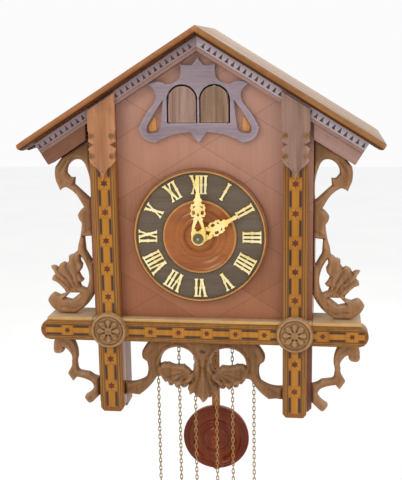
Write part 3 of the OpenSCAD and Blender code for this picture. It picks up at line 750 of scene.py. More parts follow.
class Finish:
    """A finish, whose material is made when a piece first asks for it."""

    name: str

    def material(self) -> bpy.types.Material:
        """The material of this finish, made once."""
        known = bpy.data.materials.get(self.name)
        if known is not None:
            return known
        made = bpy.data.materials.new(self.name)
        made.use_nodes = True
        net = Net(made.node_tree)
        shader = made.node_tree.nodes["Principled BSDF"]
        self.paint(net, shader, net.node("ShaderNodeTexCoord").outputs["Object"])
        return made

    def paint(self, net: Net, shader: bpy.types.Node, place: Socket) -> None:
        """Joins the finish to a shader; each kind of finish has its own way.

        Args:
            net: The net of the material.
            shader: Its shader.
            place: The point on the piece.
        """
        raise NotImplementedError

    @staticmethod
    def lay(net: Net, shader: bpy.types.Node, colour: Socket, rough: Socket, height: Socket,
            bump: tuple[float, float]) -> None:
        """Joins a colour, a roughness and a height to a shader.

        Args:
            net: The net of the material.
            shader: Its shader.
            colour: The colour.
            rough: The roughness.
            height: The height.
            bump: The strength of the height, and its depth in metres.
        """
        relief = net.node("ShaderNodeBump", {"Strength": bump[0], "Distance": bump[1],
                                             "Height": height}).outputs[0]
        for key, value in (("Base Color", colour), ("Roughness", rough), ("Normal", relief)):
            net.tree.links.new(value, shader.inputs[key])


@dataclass(frozen=True)
class Wood(Finish):
    """A wood finish: its colours, how its grain lies, and how it has worn."""

    name: str
    early: Colour
    late: Colour
    grain: Grain = Grain.UPRIGHT
    rings: float = 110.0
    figure: float = 0.45
    pores: float = 0.5
    rough: float = 0.5
    shine: float = 0.22
    varnish: Colour = (1.0, 0.84, 0.62)
    coat: float = 0.0
    wear: float = 0.35
    # How strongly the hollows are darkened by painted shade and dirt.
    shade_and_grime: float = 0.45
    dust: float = 0.12
    bump: float = 0.12
    lozenges: bool = False

    def paint(self, net: Net, shader: bpy.types.Node, place: Socket) -> None:
        """Lays the grain, then wear, painted shade with dirt in the hollows, and dust, then the
        varnish.
        """
        early, late = srgb(*self.early), srgb(*self.late)
        along = net.node("ShaderNodeMapping", {0: place, 2: self.grain.value}).outputs[0]
        timber = net.node("ShaderNodeGroup", {"Vector": along, "Early": early,
                                              "Late": late, "Rings": self.rings,
                                              "Figure": self.figure, "Pores": self.pores},
                          node_tree=Effects.timber())
        colour = timber.outputs["Color"]
        if self.lozenges:
            colour = self._lozenges(net, place, self._graded(net, place, colour))
        worn = tuple(min(1.0, c * 1.5 + 0.03) for c in early)
        # The dark colour of the painted shade and dirt in the hollows.
        dark = tuple(c * 0.3 for c in late)
        colour = net.blend(net.masked(Effects.edge_wear(), place, self.wear), colour, worn)
        colour = net.blend(net.masked(Effects.shade_and_grime(), place, self.shade_and_grime), colour, dark)
        dust = net.masked(Effects.dust(), place, self.dust)
        colour = net.blend(dust, colour, srgb(196, 186, 168))
        rough = net.span(timber.outputs["Gloss"], 0.25, 0.75, self.rough - 0.09, self.rough + 0.11)
        rough = net.plus(rough, net.times(dust, 0.3), clamp=True)
        self.lay(net, shader, colour, rough, timber.outputs["Height"], (self.bump, 0.0006))
        for key, value in (("Specular IOR Level", self.shine), ("Coat Weight", self.coat),
                           ("Specular Tint", (*self.varnish, 1)),
                           ("Coat Tint", (*self.varnish, 1)), ("Coat Roughness", 0.12)):
            shader.inputs[key].default_value = value

    @staticmethod
    def _graded(net: Net, place: Socket, colour: Socket) -> Socket:
        """The front veneer: paler and greyer towards its upper right, redder and darker towards its
        foot.
        """
        parts = net.node("ShaderNodeSeparateXYZ", {0: place})
        run = net.plus(parts.outputs[2], net.times(parts.outputs[0], 0.35))
        cloud = net.sum("SUBTRACT", net.noise(place, 14.0), 0.5)
        run = net.plus(run, net.times(cloud, 0.08))
        pale = net.times(net.span(run, -0.19, 0.02), 0.42)
        deep = net.times(net.span(run, -0.15, -0.27), 0.55)
        return net.blend(deep, net.blend(pale, colour, srgb(190, 156, 148)), srgb(132, 74, 40))

    @staticmethod
    def _lozenges(net: Net, place: Socket, colour: Socket) -> Socket:
        """Thin dark joints between lozenges of veneer, each lozenge a little different in tone."""
        parts = net.node("ShaderNodeSeparateXYZ", {0: place})
        tones, lines = [], []
        for slant, start in ((13.4, 0.30), (-13.4, 0.62)):
            run = net.plus(net.times(parts.outputs[0], 8.2), net.times(parts.outputs[2], slant))
            run = net.plus(run, start)
            away = net.sum("ABSOLUTE", net.sum("SUBTRACT", net.sum("FRACT", run), 0.5))
            lines.append(net.span(away, 0.012, 0.004))
            tones.append(net.sum("FLOOR", net.plus(run, 0.5)))
        cell = net.node("ShaderNodeCombineXYZ", {0: tones[0], 1: tones[1]}).outputs[0]
        tone = net.node("ShaderNodeTexWhiteNoise", {0: cell}, noise_dimensions="3D").outputs[0]
        colour = net.blend(net.times(tone, 0.16), colour, srgb(196, 142, 118))
        line = net.times(net.sum("MAXIMUM", lines[0], lines[1]), 0.3)
        return net.blend(line, colour, srgb(70, 40, 34))


@dataclass(frozen=True)
class Metal(Finish):
    """A metal finish: bright colour, the colour it tarnishes to, and how rough it is."""

    name: str
    bright: Colour
    tarnish: Colour
    rough: float = 0.32
    spread: float = 0.5
    brushed: bool = False

    def paint(self, net: Net, shader: bpy.types.Node, place: Socket) -> None:
        """Lays clouds and spots of tarnish, rubbed off the edges, over drawn lines."""
        cloud = net.noise(place, 70.0, 5.0, 0.65)
        spots = net.span(net.noise(place, 420.0), 0.55, 0.75)
        stain = net.times(net.span(cloud, 0.36, 0.66), self.spread)
        stain = net.plus(stain, net.times(spots, 0.22), clamp=True)
        wear = net.masked(Effects.edge_wear(), place, 0.5)
        stain = net.sum("SUBTRACT", stain, wear, clamp=True)
        factors = (1.0, 1.0, 0.04) if self.brushed else (1.0, 1.0, 1.0)
        lines = net.noise(net.stretched(place, factors), 1800.0, 2.0)
        rough = net.span(net.plus(net.times(stain, 0.5), net.times(lines, 0.5)), 0.0, 1.0,
                         self.rough - 0.1, self.rough + 0.25)
        self.lay(net, shader, net.blend(stain, self.bright, self.tarnish), rough, lines,
                 (0.08, 0.0003))
        shader.inputs["Metallic"].default_value = 1.0


@dataclass(frozen=True)
class Bone(Finish):
    """Fretted bone: cream, yellowed in clouds, with fine streaks."""

    name: str
    pale: Colour
    yellow: Colour

    def paint(self, net: Net, shader: bpy.types.Node, place: Socket) -> None:
        """Lays yellow clouds, streaks, and painted shade with dirt in the hollows, over the cream.
        """
        yellow = srgb(*self.yellow)
        cloud = net.span(net.noise(place, 55.0, 4.0), 0.35, 0.7)
        streak = net.noise(net.stretched(place, (1.0, 1.0, 0.15)), 900.0, 2.0)
        colour = net.blend(cloud, srgb(*self.pale), yellow)
        colour = net.blend(net.times(net.span(streak, 0.5, 0.75), 0.35), colour,
                           tuple(c * 0.62 for c in yellow))
        # Painted shade with dirt in the hollows, in a dark brown.
        colour = net.blend(net.masked(Effects.shade_and_grime(), place, 0.5), colour, srgb(120, 88, 40))
        self.lay(net, shader, colour, net.span(streak, 0.2, 0.8, 0.38, 0.58), streak,
                 (0.1, 0.0003))
        shader.inputs["Subsurface Weight"].default_value = 0.08
        shader.inputs["Subsurface Scale"].default_value = 0.002


@dataclass(frozen=True)
class Leather(Finish):
    """Thin sheepskin of the bellows: pale, finely wrinkled, darkened in its folds by painted shade
    and dirt.
    """

    name: str
    pale: Colour
    dark: Colour

    def paint(self, net: Net, shader: bpy.types.Node, place: Socket) -> None:
        """Lays dark clouds over the pale skin, darkens its folds with painted shade and dirt, and
        wrinkles it.
        """
        dark = srgb(*self.dark)
        cells = net.node("ShaderNodeTexVoronoi", {"Vector": place, "Scale": 900.0}).outputs[0]
        cloud = net.span(net.noise(place, 80.0, 4.0), 0.35, 0.65)
        colour = net.blend(cloud, srgb(*self.pale), dark)
        # Painted shade with dirt in the folds.
        colour = net.blend(net.masked(Effects.shade_and_grime(), place, 0.7), colour,
                           tuple(c * 0.4 for c in dark))
        self.lay(net, shader, colour, net.span(cloud, 0.0, 1.0, 0.68, 0.85), cells,
                 (0.3, 0.0003))


class Palette:
    """The finishes of the clock; wood, bone and leather have their colours from 0 to 255."""

    # The two roof boards are one wood: the left is painted lighter as painted light, the right
    # darker as painted shade.
    ROOF_LEFT_LIT = Wood("roof board left", (160, 102, 56), (110, 64, 28), Grain.LEFT_SLOPE,
                     rough=0.42, coat=0.15, wear=0.5)
    ROOF_RIGHT_SHADED = Wood("roof board right", (148, 102, 54), (106, 64, 28), Grain.RIGHT_SLOPE,
                      rough=0.42, coat=0.15, wear=0.5)
    PANEL = Wood("front veneer", (153, 104, 79), (116, 72, 52), rings=60.0, figure=0.16,
                 pores=0.25, rough=0.38, coat=0.1, wear=0.0, shade_and_grime=0.3, dust=0.0, lozenges=True)
    # Fascia and eave blocks: one wood on both sides, the left copies darker as painted shade, the
    # right copies lighter as painted light.
    FASCIA_LEFT_SHADED = Wood("fascia left", (140, 120, 122), (92, 74, 74), Grain.LEFT_SLOPE, rough=0.55,
                       shade_and_grime=0.6, wear=0.4)
    FASCIA_RIGHT_LIT = Wood("fascia right", (166, 152, 156), (112, 98, 102), Grain.RIGHT_SLOPE,
                        rough=0.55, shade_and_grime=0.6, wear=0.4)
    EAVE_LEFT_SHADED = Wood("eave block left", (112, 72, 52), (72, 42, 28), Grain.LEFT_SLOPE)
    EAVE_RIGHT_LIT = Wood("eave block right", (148, 116, 108), (100, 70, 62), Grain.RIGHT_SLOPE)
    FRET = Wood("fret of the doors", (146, 132, 140), (108, 92, 98), Grain.ACROSS, rings=50.0,
                figure=0.25, pores=0.3, rough=0.5, wear=0.45, shade_and_grime=0.6)
    CARVED = Wood("carved limewood", (146, 106, 72), (92, 61, 39), rings=70.0, figure=0.35,
                  pores=0.4, rough=0.46, coat=0.1, wear=0.6, shade_and_grime=0.8, dust=0.3)
    POST = Wood("corner post", (122, 78, 58), (74, 42, 30), rough=0.42, coat=0.12, wear=0.4)
    # The post caps: one wood, the left lighter as painted light, the right darker as painted shade.
    CAP_LEFT_LIT = Wood("left post cap", (178, 126, 90), (122, 78, 54), rings=90.0, rough=0.44,
                    coat=0.1, wear=0.5, shade_and_grime=0.7)
    CAP_RIGHT_SHADED = Wood("right post cap", (150, 120, 108), (100, 74, 64), rings=90.0, rough=0.44,
                     coat=0.1, wear=0.5, shade_and_grime=0.7)
    APRON = Wood("carved apron", (132, 93, 59), (80, 51, 29), rings=70.0, figure=0.35, pores=0.4,
                 rough=0.46, coat=0.1, wear=0.6, shade_and_grime=0.8, dust=0.2)
    # The lower cove of both roof boards: painted shade, dark under the nose.
    ROOF_UNDER_SHADED = Wood("roof underside", (92, 50, 20), (54, 26, 8), Grain.RIGHT_SLOPE, rough=0.5,
                      wear=0.2, dust=0.0)
    # The left fascia foot: brown, partly its own colour and partly painted shade.
    FASCIA_FOOT_SHADED = Wood("fascia foot", (140, 108, 96), (96, 68, 58), Grain.LEFT_SLOPE, rough=0.55,
                       shade_and_grime=0.6)
    SHADOW = Wood("notch ground", (112, 100, 112), (80, 70, 80), Grain.RIGHT_SLOPE, rough=0.6,
                  wear=0.0, dust=0.0)
    RIM_EDGE = Wood("dial rim bead", (196, 148, 84), (150, 104, 52), Grain.ACROSS, rings=60.0,
                    rough=0.32, coat=0.15, wear=0.4, shade_and_grime=0.3)
    ROSETTE = Wood("rosette", (150, 114, 76), (98, 66, 40), Grain.ACROSS, rings=60.0, rough=0.44,
                   wear=0.7, shade_and_grime=0.9)
    GROUND = Wood("inlay ground", (132, 80, 30), (84, 46, 16), rough=0.36, coat=0.2, wear=0.3,
                  shade_and_grime=0.4)
    GROUND_ACROSS = Wood("inlay ground across", (132, 80, 30), (84, 46, 16), Grain.ACROSS,
                         rough=0.36, coat=0.2, wear=0.3, shade_and_grime=0.4)
    MAPLE = Wood("maple stringing", (160, 118, 44), (122, 80, 22), rough=0.34, coat=0.2, wear=0.0,
                 shade_and_grime=0.2, dust=0.0)
    BOG_OAK = Wood("bog oak inlay", (66, 52, 46), (34, 26, 24), rough=0.4, coat=0.2, wear=0.0,
                   shade_and_grime=0.1, dust=0.0)
    SATIN = Wood("orange inlay", (172, 118, 36), (140, 88, 18), rough=0.34, coat=0.25, wear=0.0,
                 shade_and_grime=0.25, dust=0.0)
    STAR = Wood("rosewood star", (112, 52, 40), (64, 28, 26), Grain.ACROSS, rough=0.36, coat=0.2,
                wear=0.0, shade_and_grime=0.1, dust=0.0)
    SHELF = Wood("shelf board", (180, 140, 80), (128, 94, 50), Grain.ACROSS, rough=0.45, wear=0.5,
                 dust=0.45)
    DOOR_LEFT = Wood("left bird door", (156, 130, 118), (110, 82, 72), rings=160.0, figure=0.5,
                     pores=0.7, rough=0.6, wear=0.3, bump=0.25)
    DOOR_RIGHT = Wood("right bird door", (146, 118, 98), (96, 74, 58), rings=240.0, figure=0.6,
                      pores=0.8, rough=0.6, wear=0.3, bump=0.25)
    HONEY = Wood("honey inlay", (206, 148, 92), (168, 106, 56), rough=0.45, shade_and_grime=0.2)
    RIM = Wood("dial rim", (138, 84, 52), (96, 54, 30), Grain.ACROSS, rings=60.0, rough=0.32,
               coat=0.3, wear=0.6, shade_and_grime=0.5)
    RING = Wood("blackened chapter ring", (98, 86, 74), (72, 62, 52), Grain.ACROSS, rings=80.0,
                figure=0.3, pores=0.4, rough=0.6, wear=0.1, shade_and_grime=0.3, dust=0.0)
    CENTRE = Wood("turned dial centre", (158, 94, 48), (108, 58, 27), Grain.ACROSS, rings=45.0,
                  figure=0.5, pores=0.3, rough=0.26, coat=0.35, wear=0.2, shade_and_grime=0.3, dust=0.0)
    BOB = Wood("turned bob", (124, 50, 4), (70, 22, 1), rings=40.0, figure=0.5, pores=0.25,
               rough=0.16, shine=0.2, coat=0.5, varnish=(1.0, 0.5, 0.16), wear=0.1, shade_and_grime=0.35,
               dust=0.0)
    ROD = Wood("pendulum rod", (150, 92, 46), (108, 60, 26), rough=0.45, wear=0.4)
    PINE = Wood("case softwood", (196, 160, 112), (152, 112, 68), rings=45.0, figure=0.6,
                pores=0.15, rough=0.6, wear=0.3, dust=0.2)
    SIDE = Wood("case side", (150, 100, 66), (98, 58, 36), rings=70.0, rough=0.45, coat=0.1,
                wear=0.4)
    GREY_BIRD = Wood("grey bird paint", (116, 114, 112), (84, 82, 80), Grain.BACKWARDS, rings=30.0,
                     figure=0.2, pores=0.1, rough=0.5, wear=0.7, shade_and_grime=0.6)
    BROWN_BIRD = Wood("brown bird paint", (156, 116, 76), (116, 80, 48), Grain.BACKWARDS,
                      rings=30.0, figure=0.2, pores=0.1, rough=0.5, wear=0.7, shade_and_grime=0.6)
    BEAK = Wood("beak paint", (226, 170, 60), (196, 132, 34), Grain.BACKWARDS, rings=30.0,
                figure=0.2, pores=0.0, rough=0.4)
    EYE = Wood("eye paint", (24, 20, 18), (10, 8, 8), Grain.BACKWARDS, figure=0.2, pores=0.0,
               rough=0.2, coat=0.6, wear=0.0)
    CONE = Wood("cone iron paint", (98, 66, 44), (56, 36, 24), rings=30.0, figure=0.3, pores=0.2,
                rough=0.5, wear=0.9, shade_and_grime=0.9, dust=0.2)
    BRASS = Metal("aged brass", (0.62, 0.43, 0.17), (0.20, 0.13, 0.06), 0.34, 0.55)
    CHAIN = Metal("chain brass", (0.34, 0.22, 0.08), (0.10, 0.065, 0.03), 0.38, 0.7)
    PIN = Metal("dark pin", (0.10, 0.09, 0.08), (0.05, 0.04, 0.03), 0.5, 0.6)
    NUT = Metal("dull nut", (0.24, 0.21, 0.11), (0.08, 0.07, 0.04), 0.45, 0.6)
    STEEL = Metal("drawn steel", (0.46, 0.45, 0.44), (0.16, 0.13, 0.11), 0.34, 0.4, True)
    BLUED = Metal("blued spring", (0.10, 0.12, 0.20), (0.05, 0.04, 0.05), 0.3, 0.4)
    NUMERAL = Bone("bone numerals", (236, 222, 172), (222, 200, 130))
    HAND = Bone("bone hands", (240, 218, 150), (228, 196, 104))
    SKIN = Leather("bellows skin", (206, 190, 160), (160, 140, 108))


# ---- studio ----


@dataclass
class Studio:
    """The camera, a plain pale floor and soft light."""

    camera_at: Corner = (0.1523, -1.2633, 0.0507)
    pitch: float = -11.67
    yaw: float = 7.89
    roll: float = 0.9
    lens: float = 68.46
    floor_z: float = -0.86

    def camera(self) -> bpy.types.Object:
        """Makes the camera where the viewer stands and returns it."""
        data = bpy.data.cameras.new("viewer")
        data.lens = self.lens
        data.sensor_fit = "VERTICAL"
        data.sensor_height = 36.0
        data.clip_start, data.clip_end = 0.01, 50.0
        made = bpy.data.objects.new("viewer", data)
        turn = (Matrix.Rotation(math.radians(self.yaw), 3, "Z")
                @ Matrix.Rotation(math.radians(self.pitch), 3, "X")
                @ Matrix.Rotation(math.radians(self.roll), 3, "Y"))
        right, ahead, up = turn.col[0], turn.col[1], turn.col[2]
        seat = Matrix((right, up, -ahead)).transposed().to_4x4()
        seat.translation = Vector(self.camera_at)
        made.matrix_world = seat
        bpy.context.scene.collection.objects.link(made)
        bpy.context.scene.camera = made
        return made

    def floor(self) -> None:
        """Lays a pale, faintly uneven floor well below the clock."""
        mesh = bpy.data.meshes.new("floor")
        size = 6.0
        mesh.from_pydata([(-size, -size, self.floor_z), (size, -size, self.floor_z),
                          (size, size, self.floor_z), (-size, size, self.floor_z)], [],
                         [(0, 1, 2, 3)])
        made = bpy.data.objects.new("floor", mesh)
        material = bpy.data.materials.new("pale floor")
        material.use_nodes = True
        net = Net(material.node_tree)
        place = net.node("ShaderNodeTexCoord").outputs["Object"]
        cloud = net.noise(place, 3.0, 3.0)
        colour = net.blend(cloud, (0.90, 0.90, 0.90), (0.96, 0.96, 0.955))
        shader = material.node_tree.nodes["Principled BSDF"]
        material.node_tree.links.new(colour, shader.inputs["Base Color"])
        shader.inputs["Roughness"].default_value = 0.9
        mesh.materials.append(material)
        bpy.context.scene.collection.objects.link(made)

    def light(self, name: str, at: Corner, to: Corner,
              size: float, watts: float, colour: Colour = (1.0, 1.0, 1.0)) -> None:
        """Hangs a square soft light.

        Args:
            name: What the light is called.
            at: Where it hangs.
            to: What it looks at.
            size: The length of its sides.
            watts: Its power.
            colour: Its colour.
        """
        data = bpy.data.lights.new(name, "AREA")
        data.size, data.energy, data.color = size, watts, colour
        made = bpy.data.objects.new(name, data)
        made.location = at
        made.rotation_euler = (Vector(to) - Vector(at)).to_track_quat("-Z", "Y").to_euler()
        bpy.context.scene.collection.objects.link(made)

    def build(self) -> None:
        """Sets up the floor, the lights and the bright room around them."""
        self.floor()
        world = bpy.data.worlds.new("bright room")
        world.use_nodes = True
        shade = world.node_tree.nodes["Background"]
        shade.inputs["Color"].default_value = (1.0, 1.0, 1.0, 1.0)
        shade.inputs["Strength"].default_value = 0.97
        bpy.context.scene.world = world
        bpy.context.scene.view_settings.view_transform = "Standard"
        self.light("key", (-1.1, -1.9, 1.0), (0, -0.1, -0.15), 1.0, 16.0, (1.0, 0.95, 0.88))
        self.light("fill", (1.6, -1.4, 0.5), (0, -0.1, -0.15), 1.4, 9.0)
        self.light("back", (0.5, 1.7, 0.9), (0, 0, -0.2), 1.2, 4.0)


# ---- case ----


@dataclass
class Case:
    """The plain boards of the case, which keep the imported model's shapes."""

    boards: dict[str, Wood] = field(default_factory=lambda: {
        "back_board": Palette.PINE, "rear_door": Palette.PINE, "side_panels": Palette.SIDE,
        "case_floor": Palette.PINE, "front_panel": Palette.PANEL, "corner_posts": Palette.POST,
        "bird_shelf": Palette.PINE})

    def build(self, nodes: Nodes) -> None:
        """Gives each board its finish.

        Args:
            nodes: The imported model's objects by name.
        """
        for name, finish in self.boards.items():
            dress(nodes[name], finish)
        self.door_button()

    def door_button(self) -> None:
        """A small brass turn-button on the rear door."""
        blade = [(66 + x, 5 + z) for x, z in ((-2.4, -7), (2.4, -7), (3.0, 0), (2.4, 7), (-2.4, 7),
                                              (-3.0, 0))]
        shape = prism(blade, -1.0, -0.3, 0.2, 1)
        piece("rear_door_button", shape, [Palette.BRASS], "rear_door")


def dress(obj: bpy.types.Object, finish: Finish) -> None:
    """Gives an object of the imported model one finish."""
    obj.data.materials.clear()
    obj.data.materials.append(finish.material())
    log.info("%s: dressed in %s", obj.name, finish.name)


@dataclass
class Roof:
    """Two roof boards with a rounded nose and a quirk line along their front edge, and a lower cove
    in painted shade.
    """

    width: float = ROOF_WIDTH
    front: float = FACE_Y - 31.0

    def upper(self) -> list[tuple[float, float]]:
        """The section of the rounded upper part, as y and depth, from the back over the top."""
        y = self.front
        return [(0.0, 0.0), (y + 60, 0.0), (y + 4.6, 0.0), (y + 3.2, -0.2), (y + 2.6, -0.7),
                (y + 1.7, -0.9), (y + 0.8, -1.6), (y + 0.2, -2.7), (y, -3.9), (y + 0.2, -5.1),
                (y + 0.8, -6.1), (y + 1.8, -6.8), (y + 60, -6.8), (0.0, -6.8)]

    def lower(self) -> list[tuple[float, float]]:
        """The section of the lower part, which falls back in a shallow cove."""
        y = self.front
        return [(0.0, -6.8), (y + 60, -6.8), (y + 1.8, -6.8), (y + 2.6, -7.7), (y + 4.4, -8.7),
                (y + 7.2, -9.4), (y + 10.6, -9.9), (y + 14.4, -10.2), (y + 31.2, -10.3),
                (y + 31.4, -12.0), (y + 60, -12.0), (0.0, -12.0)]

    def board(self, section: list[tuple[float, float]]) -> Shape:
        """The right board's part of a section, mitred at the ridge, its low end a little rounded.

        Args:
            section: Rows of y and depth.

        Returns:
            The part.
        """
        c, s = PITCH_COS, PITCH_SIN
        end = self.width / 2 / c
        rows = []
        for step in (0.0, 0.02, 0.25, 0.5, 0.75, 0.97, 0.99, 0.996, 1.0):
            row = []
            for y, t in section:
                low = -t * s / c
                run = low + (end - low) * step
                inset = 0.0 if step < 0.99 else (0.25 if step < 0.999 else 1.1)
                depth = t + inset if t < -6.8 else (t - inset if t > -6.8 else t)
                yy = y + inset if y < -100 else y
                row.append((run * c + depth * s, yy, RIDGE_H - run * s + depth * c))
            rows.append(row)
        return grid_shape(rows, caps=True)

    def build(self) -> None:
        """Makes both boards, their lower cove in painted shade."""
        right = Shape().add(self.board(self.upper()), 0).add(self.board(self.lower()), 1)
        # under: painted shade for the lower cove.
        under = Palette.ROOF_UNDER_SHADED
        # The right board takes the copy of the wood in painted shade, the left the copy in painted
        # light.
        pair("roof_board", right, [Palette.ROOF_RIGHT_SHADED, under],
             (["roof_right"], ["roof_left"]), left=[Palette.ROOF_LEFT_LIT, under])


@dataclass
class Gable:
    """The fascia with its row of wedge notches, and the plain block under its outer part."""

    fascia: float = 13.0
    eave: float = 16.0
    end: float = (ROOF_WIDTH / 2 - 20.5 + ROOF_T * PITCH_SIN) / PITCH_COS
    notch_pitch: float = 8.2
    notch_depth: float = 2.2
    reach: float = ROOF_T - 1.7

    def on_slope(self, run: float, depth: float) -> Point:
        """A point of the right slope, run down from the ridge and depth above its top."""
        c, s = PITCH_COS, PITCH_SIN
        return (run * c + depth * s, RIDGE_H - run * s + depth * c)

    def teeth(self) -> list[Point]:
        """The outline of the right half of the upper strip, its teeth pointing down."""
        top, apex, low = -self.reach, -ROOF_T - 0.6, -ROOF_T - 6.6
        points = [self.on_slope(-top * PITCH_TAN, top), self.on_slope(self.end, top),
                  self.on_slope(self.end, low)]
        cuts = []
        run = self.notch_pitch * 2.4
        while run < self.end - 4:
            cuts.append(run)
            run += self.notch_pitch
        for run in reversed(cuts):
            points += [self.on_slope(run + 2.3, low), self.on_slope(run + 0.3, apex),
                       self.on_slope(run - 0.3, apex), self.on_slope(run - 2.1, low)]
        return points + [self.on_slope(-low * PITCH_TAN, low)]

    def strip(self, top: float, low: float, short: float = 0.0) -> list[Point]:
        """The outline of the right half of a plain strip between two depths on the slope."""
        t = PITCH_TAN
        return [self.on_slope(-top * t + short, top), self.on_slope(self.end - short, top),
                self.on_slope(self.end - short, low), self.on_slope(-low * t + short, low)]

    def block(self, top: float, low: float) -> list[Point]:
        """The outline between two depths on the right slope, from the case out to the end."""
        c, s = PITCH_COS, PITCH_SIN
        return [self.on_slope((CASE_X - top * s) / c, top), self.on_slope(self.end, top),
                self.on_slope(self.end, low), self.on_slope((CASE_X - low * s) / c, low)]

    def build(self) -> None:
        """Makes the fascia and the blocks of both slopes; the left side's finishes are painted
        shade, the right side's painted light.
        """
        low = -ROOF_T - self.fascia
        groove, lip = -ROOF_T - 6.6, -ROOF_T - 8.6
        y = FRONT_Y + self.notch_depth
        band = prism(self.teeth(), FRONT_Y, y, 0.3, 1)
        band.add(prism(self.strip(groove, lip), FRONT_Y, y, 0.3, 1))
        foot = prism(self.strip(lip, low), FRONT_Y + 0.6, y, 0.5, 2)
        ground = prism(self.strip(-self.reach, low, 0.2), y, FACE_Y, 0.2, 1)
        block = prism(self.block(low, low - self.eave), FRONT_Y, FRONT_Y + 24, 0.9, 2)
        rear = prism(self.block(-ROOF_T, low), FACE_Y, FRONT_Y + 24, 0.4, 1)
        right = Shape().add(band, 0).add(block, 1).add(rear, 1).add(ground, 2).add(foot, 3)
        # The left side takes the copies in painted shade, the right side those in painted light.
        pair("gable_trim", right,
             [Palette.FASCIA_RIGHT_LIT, Palette.EAVE_RIGHT_LIT, Palette.SHADOW, Palette.EAVE_RIGHT_LIT],
             (["gable_trim"], ()),
             left=[Palette.FASCIA_LEFT_SHADED, Palette.EAVE_LEFT_SHADED, Palette.SHADOW, Palette.FASCIA_FOOT_SHADED])


# ---- inlay ----


class Veneer(Enum):
    """The woods of an inlaid band, by their number in its list of finishes."""

    GROUND = 0
    MAPLE = 1
    DARK = 2
    ORANGE = 3
    STAR = 4


def inlay_finishes(upright: bool) -> list[Finish]:
    """The finishes of an inlaid band, in the order of Veneer."""
    return [Palette.GROUND if upright else Palette.GROUND_ACROSS, Palette.MAPLE, Palette.BOG_OAK,
            Palette.SATIN, Palette.STAR]


@dataclass
class InlaidBand:
    """Stringing lines, bars and stars let into the face of a strip.

    The strip runs from start to end about its middle line; one star stands at star_at and the
    rest follow at every period.
    """

    start: float
    end: float
    middle: float
    half: float
    upright: bool
    star_at: float
    period: float = 36.0
    face: float = FRONT_Y

    def place(self, points: Iterable[Point]) -> list[Point]:
        """Turns points along and across the strip into x and z."""
        if self.upright:
            return [(self.middle + v, u) for u, v in points]
        return [(u, self.middle + v) for u, v in points]

    def leaf(self, points: Sequence[Point], veneer: Veneer, proud: float = 0.14) -> Shape:
        """A thin piece of veneer.

        Args:
            points: Its outline, along and across the strip.
            veneer: Its wood.
            proud: How far it stands out from the strip.

        Returns:
            The piece.
        """
        made = prism(self.place(points), self.face - proud, self.face + 0.3, 0.0)
        made.finish = [veneer.value] * len(made.faces)
        return made

    def bar(self, u0: float, u1: float, v0: float, v1: float, veneer: Veneer,
            proud: float = 0.14) -> Shape:
        """A straight piece of veneer, kept within the strip."""
        u0, u1 = max(u0, self.start), min(u1, self.end)
        if u1 - u0 < 0.8:
            return Shape()
        return self.leaf([(u0, v0), (u1, v0), (u1, v1), (u0, v1)], veneer, proud)

    def star(self, u: float, size: float) -> Shape:
        """A six-pointed star."""
        points = []
        for i in range(12):
            r = size if i % 2 == 0 else size * 0.52
            a = math.pi * i / 6
            points.append((u + r * math.cos(a), r * math.sin(a)))
        return self.leaf(points, Veneer.STAR, 0.22)

    def shape(self) -> Shape:
        """All the pieces let into the strip."""
        k = self.half / 15.0
        made = Shape()
        for side in (1, -1):
            for v0, v1, veneer in ((12.3, 13.2, Veneer.MAPLE), (11.5, 12.1, Veneer.DARK),
                                   (10.2, 11.3, Veneer.MAPLE), (8.2, 8.7, Veneer.DARK)):
                made.add(self.bar(self.start, self.end, side * v0 * k, side * v1 * k, veneer, 0.1))
        first = math.floor((self.start - self.star_at) / self.period) - 1
        last = math.ceil((self.end - self.star_at) / self.period) + 1
        for i in range(first, last + 1):
            u = self.star_at + i * self.period
            if self.start + 5.5 < u < self.end - 5.5:
                made.add(self.bar(u - 7.0, u + 7.0, -7.6 * k, 7.6 * k, Veneer.ORANGE, 0.08))
                for du in (-1, 1):
                    for dv in (-1, 1):
                        made.add(self.bar(u + du * 5.4 - 1.3, u + du * 5.4 + 1.3,
                                          dv * 6.2 * k - 1.3 * k, dv * 6.2 * k + 1.3 * k,
                                          Veneer.MAPLE))
                made.add(self.star(u, 5.3 * k))
            v = u + self.period / 2
            made.add(self.bar(v - 10.6, v + 10.6, -3.9 * k, 3.9 * k, Veneer.ORANGE))
            for side in (1, -1):
                made.add(self.bar(v - 9.4, v + 9.4, side * 4.8 * k, side * 7.3 * k, Veneer.DARK,
                                  0.16))
        return made


